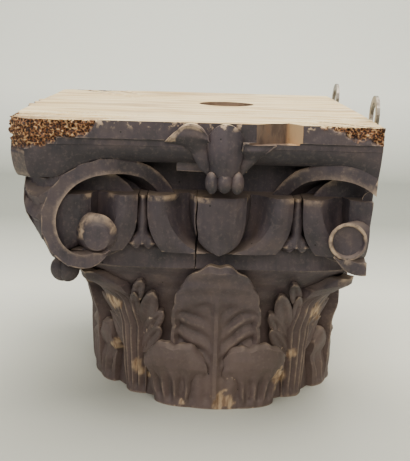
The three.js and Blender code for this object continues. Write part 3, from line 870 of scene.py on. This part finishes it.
        def put(across: Array, up: Array, out: Array) -> Array:
            k = 2.0 * across - 1.0
            end = np.sqrt(np.maximum(0.0, 1.0 - (2.0 * up - 1.0) ** 6))
            wide = half * k * np.sin(math.pi * (0.2 + 0.6 * up)) * mix(0.25, 1.0, end)
            s = mix(root[0], tip[0], up) + normal[0] * wide
            z = mix(root[1], tip[1], up) * bell + normal[1] * wide
            base = self.core.front(s, z)
            groove = 2.6 * (1 - smooth(np.abs(k), 0.0, 0.55)) * (1 - smooth(up, 0.7, 0.92))
            rise = self.lobe_rise + 4.0 * up - groove - 2.0 * k ** 4
            return np.column_stack([s, -np.where(out > 0.5, base + rise, base - self.lobe_rise), z])

        return sheet(10, 18, put)

    def lobes(self) -> list[Shell]:
        """All side lobes on the left half of a face."""
        places = [((-93, 0.66), (-82, 0.9), 7), ((-94, 0.36), (-91, 0.78), 7),
                  ((-86, 0.33), (-70, 0.8), 11), ((-85, 0.38), (-59, 0.65), 8),
                  ((-85, 0.3), (-62, 0.52), 8)]
        return [self.lobe(root, tip, half) for root, tip, half in places]


@dataclass
class Fleuron:
    """The flower in the middle of an abacus side: three petals, a block and three buds."""

    courses: Courses
    front: float = 226.0
    half: float = 18.0
    wing_half: float = 52.0
    lobe: float = 22.0
    drop: float = 52.0
    bud_drop: float = 17.0
    back: float = 164.0
    middle: float = 3.0

    @property
    def foot(self) -> float:
        """Height of the petals' lower edge."""
        return self.courses.height - self.drop

    def petal(self, edges: Callable[[Array, Array], tuple[Array, Array, Array]], crown: float,
              grid: tuple[int, int], carve: Callable[[Array, Array], Array], behind: float = 0.0) -> Shell:
        """An upright petal between two side curves, crowned across, carved and set back at its foot."""

        def put(u: Array, v: Array, out: Array) -> Array:
            left, right, z = edges(u, v)
            k = 2.0 * u - 1.0
            bulge = crown * (1 - k * k) * np.sin(math.pi * (0.15 + 0.75 * v)) + carve(k, v)
            reach = self.front - crown + bulge - behind * (1 - smooth(v, 0.45, 0.8))
            w = np.where(out > 0.5, reach, self.back)
            return np.column_stack([mix(left, right, u), -w, z])

        return sheet(grid[0], grid[1], put)

    def centre(self) -> Shell:
        """The middle petal, a narrow arch with a slight ridge."""
        top = self.courses.height - 0.5

        def edges(u: Array, v: Array) -> tuple[Array, Array, Array]:
            half = mix(self.half - 3.0, self.half, smooth(v, 0.0, 0.6))
            k = np.abs(2 * u - 1)
            arch = 13.0 * k ** 2.2 * smooth(v, 0.5, 1.0)
            foot = self.foot - 2.0 + 8.0 * k ** 2.5 * (1 - smooth(v, 0.0, 0.4))
            return self.middle - half, self.middle + half, mix(foot, top, v) - arch

        def ridge(k: Array, v: Array) -> Array:
            return 1.0 * np.exp(-(k / 0.12) ** 2) - 2.5 * np.abs(k) ** 6

        return self.petal(edges, 8.0, (18, 26), ridge)

    def hood(self, v: Array) -> Array:
        """How far a whole wing reaches from the middle: a round hood on a narrow neck."""
        rows = [(0, 18), (0.12, 26), (0.4, 33), (0.54, 42), (0.64, 54), (0.76, 60), (0.9, 59), (1, 52)]
        return table(rows, 1)(v)

    def wing(self, side: int, broken: bool) -> Shell:
        """A side petal that spreads to a round lobe with a worn rim, or lost it."""
        lobe = 0.0 if broken else self.lobe
        top = self.courses.height - (18.0 if broken else 0.5)

        def edges(u: Array, v: Array) -> tuple[Array, Array, Array]:
            inner = self.half * mix(0.5, 0.95, v)
            outer = self.hood(v) if lobe else mix(17.0, self.wing_half, v)
            arch = 0.6 * lobe * np.abs(2 * u - 1) ** 2.4 * smooth(v, 0.55, 1.0)
            return self.middle + side * inner, self.middle + side * outer, mix(self.foot, top, v) - arch

        def dish(k: Array, v: Array) -> Array:
            rim = smooth(np.maximum(np.abs(k), 2.2 * v - 1.2), 0.78, 0.92)
            return -2.2 * (1 - rim) * smooth(v, 0.5, 0.72) - 1.0 * np.cos(3 * k) * (1 - v)

        return self.petal(edges, 6.0, (22, 26), dish, 12.0)

    def buds(self) -> list[Shell]:
        """The three small buds under the petals."""
        down = np.linspace(0.05, math.pi - 0.05, 18)
        turn = np.linspace(0.0, 2.0 * math.pi, 26, endpoint=False)
        phi, theta = np.meshgrid(down, turn, indexing="ij")
        shells = []
        for i in (-1, 0, 1):
            x = self.middle + i * 12.5 + (6.8 if i else 8.6) * np.sin(phi) * np.cos(theta)
            y = 10 - self.front + 9.0 * np.sin(phi) * np.sin(theta)
            z = self.foot - self.bud_drop / 2 + 2.5 - abs(i) + 11.5 * np.cos(phi)
            shells.append(loft(np.stack([x, y, z], axis=-1)))
        return shells

    def shells(self, broken_wing: int) -> list[Shell]:
        """All of one fleuron; broken_wing is the sign of the wing that lost its lobe, or 0."""
        left = self.middle - self.wing_half + 3
        right = self.middle + (self.half + 5 if broken_wing else self.wing_half + 5)

        def put(u: Array, v: Array, out: Array) -> Array:
            w = np.where(out > 0.5, self.front - mix(38.0, 14.0, smooth(v, 0.1, 0.7)), self.back)
            return np.column_stack([mix(left, right, u), -w, mix(self.foot, self.foot + self.drop - 4, v)])

        places = np.concatenate([[0.0, 0.012, 0.03], np.linspace(0.08, 0.92, 11), [0.97, 0.988, 1.0]])
        block = sheet(places, places, put)
        wings = [self.wing(side, side == broken_wing) for side in (-1, 1)]
        return [self.centre(), *wings, *self.buds(), block]


@dataclass
class Damage:
    """What was sawn, bored, broken and split off, as solids to cut away."""

    courses: Courses
    sawn_reach: float = 160.0
    sawn_lean: float = 2.6
    sawn_turn: float = 1.15
    split_depth: float = 9.0
    bay_depth: float = 20.0
    crack_side: float = -25.5
    bore_radius: float = 33.0
    bore_depth: float = 90.0
    bore_side: float = 7.0
    bore_setback: float = 25.0

    def box(self, low: Sequence[float], high: Sequence[float]) -> Shell:
        """A plain block between two corners."""
        corners = np.array([[x, y] for x, y in ((0, 0), (1, 0), (1, 1), (0, 1))], dtype=float)
        low, high = np.array(low, dtype=float), np.array(high, dtype=float)
        rings = [np.column_stack([low[:2] + corners * (high - low)[:2], np.full(4, z)])
                 for z in (low[2], high[2])]
        return loft(np.array(rings))

    def prism(self, outline: Sequence[Sequence[float]], low: float, high: float) -> Shell:
        """An upright prism over an outline in plan."""
        base = np.array(outline, dtype=float)
        rings = [np.column_stack([base, np.full(len(base), z)]) for z in (low, high)]
        return loft(np.array(rings))

    def offcut(self) -> Shell:
        """Everything behind the sawn plane, which leans out at its top and is turned a little."""
        size = 3 * self.courses.abacus_half
        block = self.box((0, -size, -size), (size, size, size))
        turn = Euler((0, math.radians(self.sawn_lean), math.radians(self.sawn_turn)), "XYZ")
        matrix = np.array(turn.to_matrix())
        start = [self.sawn_reach, -self.courses.abacus_half, self.courses.height]
        return Shell(block.points @ matrix.T + start, block.faces)

    def split(self) -> Shell:
        """What split off the volute beside the sawn back."""
        c = self.courses
        near, far = self.sawn_reach - self.split_depth, self.sawn_reach + self.split_depth
        side = np.array([(far, c.echinus_top + 2), (self.sawn_reach - 4, c.echinus_top + 2),
                         (near, c.lip_top + 4), (near, c.bell - 16), (far, c.bell - 16)])
        rings = [np.column_stack([side[:, 0], np.full(5, y), side[:, 1]])
                 for y in (-c.abacus_half * 1.5, -c.abacus_half / 2)]
        return loft(np.array(rings))

    def bay(self) -> Shell:
        """The bay where the front fleuron's right wing and the slab beside it broke away."""
        c = self.courses
        half, front = c.abacus_half, 226.0
        outline = [(25, -front - 20), (26, 6 - front), (39, 4 - half), (48, 12 - half), (58, 14 - half),
                   (66, 20 - half), (71, 13 - half), (79, -half - 1), (81, -front - 20)]
        return self.prism(outline, c.height - self.bay_depth, c.height + 10)

    def bore(self) -> Shell:
        """The bored hole in the top."""
        turn = np.linspace(0.0, 2.0 * math.pi, 72, endpoint=False)
        ring = np.column_stack([self.bore_side + self.bore_radius * np.cos(turn),
                                self.bore_setback + self.bore_radius * np.sin(turn)])
        top = self.courses.height
        return self.prism(ring, top - self.bore_depth, top + self.bore_depth)

    def crack(self) -> Shell:
        """The drying crack down the front, left of the middle: a thin, slightly bent wedge."""
        c = self.courses

        def put(u: Array, v: Array, out: Array) -> Array:
            z = mix(c.bell - 2, c.echinus_top + 8, v)
            bend = 1.2 * np.sin(5 * v) + 0.6 * np.sin(17 * v)
            wide = mix(0.25, 0.95, np.sin(math.pi * np.clip(v, 0.06, 0.94)))
            x = self.crack_side + 2.5 * v + bend + np.where(out > 0.5, wide, -wide)
            return np.column_stack([x, mix(-230.0, -150.0, u), z])

        return sheet(2, 24, put)

    def cuts(self) -> list[tuple[Shell, Cut]]:
        """All of the cuts with their marks, and the planes of the underside and the sawn top."""
        c = self.courses
        wide = 2 * c.abacus_half
        under = self.box((-wide, -wide, -60), (wide, wide, 0))
        over = self.box((-wide, -wide, c.height), (wide, wide, c.height + 60))
        return [(under, Cut.BACK), (over, Cut.TOP), (self.bay(), Cut.BREAK), (self.offcut(), Cut.BACK),
                (self.split(), Cut.BREAK), (self.bore(), Cut.BORE), (self.crack(), Cut.CRACK)]


@dataclass
class Capital:
    """The whole carved block as one mesh."""

    courses: Courses = field(default_factory=Courses)

    def forms(self) -> list[Shell]:
        """Every closed form that the block is joined from, in the capital's frame."""
        c = self.courses
        core = Core(c)
        echinus, volute, fleuron = Echinus(c), Volute(c), Fleuron(c)
        leaves = Leaves(c, core)
        shells = [core.shell(), Abacus(c).shell()]
        for face in Face:
            fine = face in (Face.FRONT, Face.LEFT)
            own = [leaves.tall((52, 76) if fine else (34, 48), face.value),
                   leaves.corner((36, 50) if fine else (28, 36), face.value)]
            put = own.append
            spiral = Volute(c, eye_side=131.0, lean=0.0) if face is Face.RIGHT else volute
            own += spiral.shells(fine, face is Face.RIGHT)
            if face in (Face.FRONT, Face.LEFT):
                put(volute.bud())
            for side in (-1, 1):
                grid = (40, 34) if fine else (28, 24)
                broken = (face, side) in ((Face.LEFT, 1), (Face.RIGHT, -1))
                put(leaves.low(side * leaves.low_turn, grid, 2 * face.value + (side > 0), broken))
                for lobe in leaves.lobes():
                    put(lobe if side < 0 else lobe.mirrored())
            if face is not Face.RIGHT:
                for side in (-1, 1):
                    put(echinus.dart(side * echinus.pitch / 2))
                    sunk = 18.0 if (face, side) == (Face.LEFT, 1) else 0.0
                    put(echinus.egg(side * echinus.pitch, -side, sunk))
                put(echinus.egg(0.0, 0))
                own += fleuron.shells(1 if face is Face.FRONT else 0)
            shells += [shell.turned(face) for shell in own]
        return shells

    def build(self) -> bpy.types.Object:
        """Joins the forms, cuts what was lost, and gives the surface its hand-cut unevenness."""
        forms = self.forms()
        thing = to_object("carved_capital", forms[:1])
        combine(thing, forms[1:], "UNION")
        LOG.info("joined %d forms: %d faces", len(forms), len(thing.data.polygons))
        for shell, mark in Damage(self.courses).cuts():
            combine(thing, [shell], "DIFFERENCE", mark)
        values = np.empty(len(thing.data.polygons), dtype=np.float32)
        thing.data.attributes[CUT_LAYER].data.foreach_get("value", values)
        LOG.info("after the cuts: %d faces, marks %s", len(values), np.unique(values, return_counts=True))
        self.finish(thing.data)
        return thing

    def finish(self, mesh: bpy.types.Mesh) -> None:
        """Roughens the carved surface a little, marks by place the worm-eaten, chipped and worn spots, the
        worn rims partly painted highlights, and shades it.
        """
        count = len(mesh.vertices)
        flat = np.empty(count * 3)
        mesh.vertices.foreach_get("co", flat)
        points = flat.reshape(-1, 3) / MM
        normals = np.empty(count * 3)
        mesh.vertices.foreach_get("normal", normals)
        normals = normals.reshape(-1, 3)
        c = self.courses
        inside = (points[:, 2] > 1.0) & (points[:, 2] < c.height - 1.0) & (points[:, 0] < 146.0)
        push = 0.45 * lattice_noise(points, 15.0, 31) + 0.22 * lattice_noise(points, 5.0, 32)
        points = points + normals * (push * inside)[:, None]
        mesh.vertices.foreach_set("co", (points * MM).ravel())
        abacus = Abacus(c)
        layers = ((WORM_LAYER, abacus.wormy(points)), (CHIP_LAYER, abacus.chipped(points)),
                  (RUB_AND_HIGHLIGHT_LAYER, abacus.rubbed_and_highlit(points)))
        for name, values in layers:
            layer = mesh.attributes.new(name, "FLOAT", "POINT")
            layer.data.foreach_set("value", values.astype(np.float32))
        mesh.update()
        for polygon in mesh.polygons:
            polygon.use_smooth = True
        mesh.set_sharp_from_angle(angle=math.radians(38))


# Finishes, with painted shade and highlights


def colour(hex_code: str) -> tuple[float, float, float, float]:
    """Turns an sRGB hex code into linear red, green, blue and full alpha."""
    parts = [int(hex_code[i:i + 2], 16) / 255 for i in (1, 3, 5)]
    linear = [p / 12.92 if p <= 0.04045 else ((p + 0.055) / 1.055) ** 2.4 for p in parts]
    return (*linear, 1.0)


class Tree:
    """A material's node tree, with one way to add a node."""

    def __init__(self, name: str) -> None:
        """Starts an empty node material with its output.

        Args:
            name: The material's name.
        """
        self.material = bpy.data.materials.new(name)
        self.material.use_nodes = True
        self.nodes = self.material.node_tree.nodes
        self.links = self.material.node_tree.links
        self.nodes.clear()

    def add(self, kind: str, settings: dict | None = None, **inputs: object) -> bpy.types.Node:
        """Adds a node, sets its properties and fills or links its inputs.

        Args:
            kind: The node's type name.
            settings: Properties of the node itself.
            **inputs: Input values or sockets by name, with underscores for spaces, or in0,
                in1 and so on by number.

        Returns:
            The new node.
        """
        node = self.nodes.new(kind)
        for key, value in (settings or {}).items():
            setattr(node, key, value)
        for key, value in inputs.items():
            numbered = key.startswith("in") and key[2:].isdigit()
            socket = node.inputs[int(key[2:])] if numbered else node.inputs[key.replace("_", " ")]
            if isinstance(value, bpy.types.NodeSocket):
                self.links.new(value, socket)
            else:
                socket.default_value = value
        return node

    def ramp(self, factor: bpy.types.NodeSocket, stops: Sequence[tuple[float, str]]) -> bpy.types.NodeSocket:
        """A colour ramp through sRGB stops."""
        node = self.add("ShaderNodeValToRGB", Fac=factor)
        band = node.color_ramp
        band.elements[0].position = stops[0][0]
        band.elements[-1].position = stops[-1][0]
        for place, _ in stops[1:-1]:
            band.elements.new(place)
        for element, (_, code) in zip(band.elements, stops):
            element.color = colour(code)
        return node.outputs["Color"]

    def blend(self, factor: object, first: object, second: object) -> bpy.types.NodeSocket:
        """Mixes two colours by a factor."""
        node = self.add("ShaderNodeMix", {"data_type": "RGBA"}, in0=factor, in6=first, in7=second)
        return node.outputs[2]

    def math(self, operation: str, first: object, second: object = 0.0) -> bpy.types.NodeSocket:
        """Works out a sum of two numbers."""
        node = self.add("ShaderNodeMath", {"operation": operation}, in0=first, in1=second)
        return node.outputs[0]

    def step(self, value: bpy.types.NodeSocket, low: float, high: float) -> bpy.types.NodeSocket:
        """A smooth step of a number between two limits."""
        node = self.add("ShaderNodeMapRange", {"interpolation_type": "SMOOTHSTEP"}, Value=value,
                        From_Min=low, From_Max=high)
        return node.outputs["Result"]

    def layer(self, name: str) -> bpy.types.NodeSocket:
        """Reads one of the mesh's own marks."""
        return self.add("ShaderNodeAttribute", {"attribute_name": name}).outputs["Fac"]

    def noise(self, scale_mm: float, detail: float, stretch: tuple[float, float, float] = (1, 1, 1),
              rough: float = 0.55) -> bpy.types.NodeSocket:
        """Noise on object coordinates whose features are about scale_mm across."""
        coords = self.add("ShaderNodeTexCoord").outputs["Object"]
        place = self.add("ShaderNodeMapping", Vector=coords, Scale=stretch).outputs["Vector"]
        node = self.add("ShaderNodeTexNoise", Vector=place, Scale=1.0 / (scale_mm * MM),
                        Detail=detail, Roughness=rough)
        return node.outputs["Fac"]

    def finish(self, shader: bpy.types.Node) -> bpy.types.Material:
        """Links the shader to the output and gives the material."""
        self.add("ShaderNodeOutputMaterial", Surface=shader.outputs[0])
        return self.material


@dataclass(frozen=True)
class StainedWood:
    """Softwood carved by hand and dyed dark, dusty, with worn edges, painted highlights on faces that turn
    up and on worn rims, and painted shade in hollows, creases and under the slab.
    """

    # The darkest tone of the dye, also used for painted shade in hollows, creases and under the slab.
    deep: str = "#28252b"
    body: str = "#463d43"
    warm: str = "#5d4f4c"
    # The dusty tone here is also a painted highlight on faces that turn up.
    dust_and_highlight: str = "#87786f"
    worn: str = "#bda58c"
    # The worn-rim tone here is also a painted highlight on the eyes, the volute band and the echinus' top
    # edge.
    rubbed_and_highlit: str = "#cdb294"
    raw: str = "#e8ca90"
    brown: str = "#775c46"
    # A lighter, browner tone blended in towards the bottom.
    lower_tone: str = "#8d7362"

    def make(self) -> bpy.types.Material:
        """Builds the material in layers: the dyed colour with painted shade, dusty and worn surfaces with
        painted highlights, worms and chips, then raw wood.
        """
        tree = Tree("stained_carved_wood")
        coords = tree.add("ShaderNodeTexCoord").outputs["Object"]
        place = tree.add("ShaderNodeSeparateXYZ", Vector=coords)
        geometry = tree.add("ShaderNodeNewGeometry")
        slope = tree.add("ShaderNodeSeparateXYZ", Vector=geometry.outputs["Normal"])
        edge = geometry.outputs["Pointiness"]
        fine = tree.noise(4, 5, rough=0.65)
        grain = tree.noise(7, 4, (1, 1, 0.12), 0.6)
        cells = self.cells(tree, coords)
        worm = tree.layer(WORM_LAYER)
        base = self.stained_and_shaded(tree, grain, place, slope, edge)
        base = self.dusted_worn_and_highlit(tree, base, fine, place, slope, edge)
        base = self.eaten(tree, base, coords, worm, cells)
        base = self.sawn(tree, base, place, slope)
        relief = tree.math("ADD", tree.math("MULTIPLY", fine, 0.5), grain)
        pits = tree.math("MULTIPLY", tree.math("MULTIPLY", worm, cells), 4.0)
        bump = tree.add("ShaderNodeBump", Height=tree.math("ADD", relief, pits), Strength=0.45,
                        Distance=0.0012)
        rough = tree.add("ShaderNodeMapRange", Value=fine, To_Min=0.5, To_Max=0.78).outputs["Result"]
        shader = tree.add("ShaderNodeBsdfPrincipled", Base_Color=base, Roughness=rough,
                          Normal=bump.outputs["Normal"])
        return tree.finish(shader)

    def cells(self, tree: Tree, coords: bpy.types.NodeSocket) -> bpy.types.NodeSocket:
        """The worms' galleries, cut across: distance from the middles of bent small cells."""
        bent = tree.add("ShaderNodeTexNoise", Vector=coords, Scale=1.0 / (4.0 * MM)).outputs["Color"]
        bent = tree.add("ShaderNodeMix", {"data_type": "VECTOR"}, in0=0.0035, in4=coords, in5=bent)
        return tree.add("ShaderNodeTexVoronoi", {"feature": "F1"}, Vector=bent.outputs[1],
                        Scale=1.0 / (2.7 * MM)).outputs["Distance"]

    def stained_and_shaded(self, tree: Tree, grain: bpy.types.NodeSocket, place: bpy.types.Node,
                slope: bpy.types.Node, edge: bpy.types.NodeSocket) -> bpy.types.NodeSocket:
        """The dyed colour: blotched, lighter and browner towards the bottom, with painted shade in the
        hollows and creases and on faces that turn down under the slab.
        """
        stain_and_shade = tree.ramp(tree.noise(45, 4), [(0.3, self.deep), (0.52, self.body), (0.75, self.warm)])
        # Lighter and browner towards the bottom.
        low = tree.math("SUBTRACT", 1.0, tree.step(place.outputs["Z"], 0.05, 0.19))
        stain_and_shade = tree.blend(tree.math("MULTIPLY", low, 0.3), stain_and_shade, colour(self.lower_tone))
        stain_and_shade = tree.blend(0.18, stain_and_shade, tree.ramp(grain, [(0.35, self.deep), (0.65, self.warm)]))
        # Painted shade: faces that turn down, high up under the slab and in the hollow, are darkened.
        facing_down = tree.step(tree.math("MULTIPLY", slope.outputs["Z"], -1.0), 0.05, 0.6)
        under = tree.math("MULTIPLY", facing_down, tree.step(place.outputs["Z"], 0.24, 0.26))
        stain_and_shade = tree.blend(tree.math("MULTIPLY", under, 0.8), stain_and_shade, colour(self.deep))
        # Painted shade: hollows and creases, found by their low pointiness, are darkened.
        painted_crease_shade = tree.math("SUBTRACT", 1.0, tree.step(edge, 0.42, 0.49))
        return tree.blend(tree.math("MULTIPLY", painted_crease_shade, 0.35), stain_and_shade, colour(self.deep))

    def dusted_worn_and_highlit(self, tree: Tree, base: bpy.types.NodeSocket, fine: bpy.types.NodeSocket,
               place: bpy.types.Node, slope: bpy.types.Node,
               edge: bpy.types.NodeSocket) -> bpy.types.NodeSocket:
        """A light dusty tone on faces that turn up, partly a real dusty film and partly a painted highlight;
        wood worn through on edges; worn rims, partly painted highlights; nicks along the sawn top.
        """
        # Faces that turn up get a light tone: partly a real dusty film, partly a painted highlight.
        up = tree.step(slope.outputs["Z"], 0.35, 0.95)
        base = tree.blend(tree.math("MULTIPLY", up, 0.75), base, colour(self.dust_and_highlight))
        speck = tree.step(fine, 0.5, 0.68)
        base = tree.blend(tree.math("MULTIPLY", speck, 0.18), base, colour(self.dust_and_highlight))
        uneven = tree.math("MULTIPLY", tree.math("SUBTRACT", fine, 0.5), 0.05)
        worn = tree.step(tree.math("ADD", edge, uneven), 0.53, 0.62)
        base = tree.blend(tree.math("MULTIPLY", worn, 0.8), base, colour(self.worn))
        # Worn rims, partly painted highlights where the top light catches them.
        rub_and_highlight = tree.math("MULTIPLY", tree.layer(RUB_AND_HIGHLIGHT_LAYER), tree.step(tree.noise(7, 4), 0.3, 0.6))
        base = tree.blend(tree.math("MULTIPLY", rub_and_highlight, 0.6), base, colour(self.rubbed_and_highlit))
        nick = tree.math("MULTIPLY", tree.step(place.outputs["Z"], 0.3165, 0.3255),
                         tree.step(tree.noise(8, 4), 0.54, 0.64))
        return tree.blend(nick, base, colour(self.rubbed_and_highlit))

    def eaten(self, tree: Tree, base: bpy.types.NodeSocket, coords: bpy.types.NodeSocket,
              worm: bpy.types.NodeSocket, cells: bpy.types.NodeSocket) -> bpy.types.NodeSocket:
        """Flight holes, worm-eaten corners and the fresh wood of chips."""
        holes = tree.add("ShaderNodeTexVoronoi", Vector=coords, Scale=1.0 / (21 * MM)).outputs["Distance"]
        flight = tree.math("SUBTRACT", 1.0, tree.step(holes, 0.035, 0.05))
        base = tree.blend(flight, base, colour("#100c0b"))
        spongy = tree.ramp(cells, [(0.16, "#150c0a"), (0.42, "#452818"), (0.62, "#8e5a31"),
                                   (0.85, "#dcb98a")])
        base = tree.blend(worm, base, spongy)
        bared = tree.ramp(tree.noise(5, 4, (1, 1, 0.25)), [(0.36, "#80644a"), (0.6, "#c9ad8b")])
        return tree.blend(tree.math("MULTIPLY", tree.layer(CHIP_LAYER), 0.85), base, bared)

    def sawn(self, tree: Tree, base: bpy.types.NodeSocket, place: bpy.types.Node,
             slope: bpy.types.Node) -> bpy.types.NodeSocket:
        """Lays raw wood over the top, the back, the bore and the breaks, by mark, place and slope."""
        streak = tree.noise(9, 6, (0.06, 1, 1), 0.62)
        blotch = tree.noise(55, 5, (0.35, 1, 1), 0.6)
        hair = tree.noise(2.2, 3, (0.035, 1, 1), 0.5)
        raw = tree.ramp(streak, [(0.32, "#a98858"), (0.45, self.raw), (0.58, "#f6e6be"), (0.72, "#c8a56f")])
        raw = tree.blend(tree.math("MULTIPLY", tree.step(blotch, 0.5, 0.66), 0.6), raw, colour("#ad8756"))
        raw = tree.blend(tree.math("MULTIPLY", tree.step(hair, 0.62, 0.7), 0.55), raw, colour("#6b4c31"))
        mark = tree.layer(CUT_LAYER)
        top = tree.math("MULTIPLY", tree.step(place.outputs["Z"], 0.3236, 0.3256),
                        tree.step(slope.outputs["Z"], 0.5, 0.7))
        base = tree.blend(top, base, raw)
        torn = tree.ramp(tree.noise(6, 4, (1, 1, 0.3)),
                         [(0.35, "#54453c"), (0.55, "#6f5c4e"), (0.7, self.brown)])
        pale = tree.math("MULTIPLY", tree.step(place.outputs["X"], 0.062, 0.068),
                         tree.step(place.outputs["Z"], 0.3, 0.304))
        torn = tree.blend(pale, torn, colour("#c3a179"))
        broken = tree.math("COMPARE", mark, float(Cut.BREAK.value))
        base = tree.blend(broken, base, torn)
        bored = tree.math("COMPARE", mark, float(Cut.BORE.value))
        base = tree.blend(bored, base, tree.ramp(streak, [(0.3, "#5f4a3c"), (0.7, "#a58a72")]))
        aged = tree.ramp(streak, [(0.3, "#7d6242"), (0.6, "#b3946a"), (0.8, "#8f7452")])
        back = tree.math("MULTIPLY", tree.step(slope.outputs["X"], 0.96, 0.985),
                         tree.step(place.outputs["X"], 0.1435, 0.1445))
        return tree.blend(back, base, aged)


@dataclass(frozen=True)
class DullSteel:
    """Sheet steel, blanked and dulled by age, with brown oxide in patches."""

    bright: str = "#a9a49a"
    dark: str = "#6d665d"
    rust: str = "#6a4a36"

    def make(self) -> bpy.types.Material:
        """Builds the material: grey steel, darker patches and a little rust."""
        tree = Tree("dull_steel")
        broad = tree.noise(9, 4)
        fine = tree.noise(1.5, 4)
        base = tree.ramp(broad, [(0.35, self.dark), (0.65, self.bright)])
        base = tree.blend(tree.math("MULTIPLY", tree.step(fine, 0.55, 0.7), 0.5), base, colour(self.rust))
        rough = tree.add("ShaderNodeMapRange", Value=fine, To_Min=0.28, To_Max=0.55).outputs["Result"]
        bump = tree.add("ShaderNodeBump", Height=fine, Strength=0.2, Distance=0.0004)
        shader = tree.add("ShaderNodeBsdfPrincipled", Base_Color=base, Roughness=rough, Metallic=1.0,
                          Normal=bump.outputs["Normal"])
        return tree.finish(shader)


@dataclass(frozen=True)
class Paper:
    """Matt studio paper for the floor and the backdrop, with painted shade on the near floor and where the
    floor ends, and painted light high on the backdrop.
    """

    # near: painted shade on the floor in front and round the object's foot; far: painted shade where the
    # floor bends up; high: painted light on the upper backdrop.
    near: str = "#bcbeb4"
    light: str = "#e0e2d7"
    far: str = "#9da097"
    high: str = "#eff1e7"

    def make(self) -> bpy.types.Material:
        """Builds the matt material, its tone by the way along the floor and up the backdrop: even paper with
        painted shade and painted light.
        """
        tree = Tree("studio_paper")
        coords = tree.add("ShaderNodeTexCoord").outputs["Object"]
        place = tree.add("ShaderNodeSeparateXYZ", Vector=coords)
        way = tree.math("ADD", place.outputs["Y"], place.outputs["Z"])
        share = tree.add("ShaderNodeMapRange", Value=way, From_Min=-0.6, From_Max=2.6).outputs["Result"]
        # The ramp paints shade near the camera and at the bend, and light high on the backdrop.
        tone = tree.ramp(share, [(0.08, self.near), (0.2, self.light), (0.3, self.light),
                                 (0.48, self.far), (0.66, self.far), (0.85, self.high)])
        shader = tree.add("ShaderNodeBsdfPrincipled", Base_Color=tone, Roughness=0.9)
        return tree.finish(shader)


# Studio


@dataclass
class Studio:
    """Camera, lights, floor and backdrop. Lengths in metres."""

    camera_place: tuple[float, float, float] = (-0.0172, -1.1861, 0.4222)
    pitch_down: float = 11.859
    roll: float = 1.614
    yaw: float = -0.1205
    lens: float = 77.25

    def camera(self) -> None:
        """Makes the camera that the photograph was fitted with."""
        data = bpy.data.cameras.new("camera")
        data.lens = self.lens
        data.sensor_width = 36.0
        thing = bpy.data.objects.new("camera", data)
        bpy.context.scene.collection.objects.link(thing)
        thing.location = self.camera_place
        level = Euler((math.radians(90 - self.pitch_down), 0, math.radians(self.yaw)), "XYZ").to_matrix()
        spin = Euler((0, 0, math.radians(self.roll)), "XYZ").to_matrix()
        thing.rotation_euler = (level @ spin).to_euler()
        bpy.context.scene.camera = thing

    def light(self, name: str, place: Sequence[float], aim: Sequence[float], size: Sequence[float],
              power: float, tint: str) -> None:
        """Hangs one soft rectangular light, aimed at a point."""
        data = bpy.data.lights.new(name, "AREA")
        data.shape = "RECTANGLE"
        data.size, data.size_y = size
        data.energy = power
        data.color = colour(tint)[:3]
        thing = bpy.data.objects.new(name, data)
        bpy.context.scene.collection.objects.link(thing)
        thing.location = place
        thing.rotation_euler = (Vector(aim) - Vector(place)).to_track_quat("-Z", "Y").to_euler()

    def stage(self) -> None:
        """Lays the floor, which rises behind the object into a backdrop on a round bend."""
        reach, bend, depth, rise = 5.0, 0.5, 1.5, 2.4
        turn = np.linspace(0.0, math.pi / 2, 16)
        y = np.concatenate([[-1.6], depth + bend * np.sin(turn), [depth + bend]])
        z = np.concatenate([[0.0], bend - bend * np.cos(turn), [rise]]) - 0.0002
        points = np.array([[x, b, c] for x in (-reach, reach) for b, c in zip(y, z)])
        count = len(y)
        faces = [(i, count + i, count + i + 1, i + 1) for i in range(count - 1)]
        mesh = bpy.data.meshes.new("floor")
        mesh.from_pydata(points, [], faces)
        for polygon in mesh.polygons:
            polygon.use_smooth = True
        floor = bpy.data.objects.new("floor", mesh)
        bpy.context.scene.collection.objects.link(floor)
        mesh.materials.append(Paper().make())

    def lights(self) -> None:
        """Sets a broad light above, one above and in front, a weak fill and the surrounding tone."""
        self.light("above", (0.1, -0.1, 1.9), (0, 0.0, 0.2), (1.9, 1.5), 68, "#fff8ee")
        self.light("front", (0.2, -2.4, 1.3), (0, 0, 0.08), (1.8, 1.0), 28, "#fff6ea")
        self.light("left", (-1.7, -1.2, 0.5), (0, 0, 0.15), (1.0, 0.8), 6, "#f2f4ff")
        self.light("behind", (0.0, 1.0, 1.5), (0, 2.1, 0.45), (2.4, 0.6), 17, "#ffffff")
        world = bpy.data.worlds.new("surround")
        world.use_nodes = True
        background = world.node_tree.nodes["Background"]
        background.inputs["Color"].default_value = colour("#c9cdc6")
        background.inputs["Strength"].default_value = 0.38
        bpy.context.scene.world = world


def dress_plates() -> None:
    """Gives the two hanging plates their steel."""
    steel = DullSteel().make()
    for name in ("hanging_plate_front", "hanging_plate_rear"):
        thing = bpy.data.objects[name]
        for slot in thing.material_slots:
            slot.material = steel
        LOG.info("dressed %s", name)


def main() -> None:
    """Builds the camera, the carved block, the plates' finish and the studio, in that order."""
    logging.basicConfig(level=logging.INFO)
    studio = Studio()
    studio.camera()
    capital = Capital().build()
    capital.data.materials.clear()
    capital.data.materials.append(StainedWood().make())
    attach(capital, "root")
    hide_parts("capital")
    LOG.info("carved_capital: %d faces", len(capital.data.polygons))
    dress_plates()
    studio.stage()
    studio.lights()


if __name__ == "__main__":
    main()
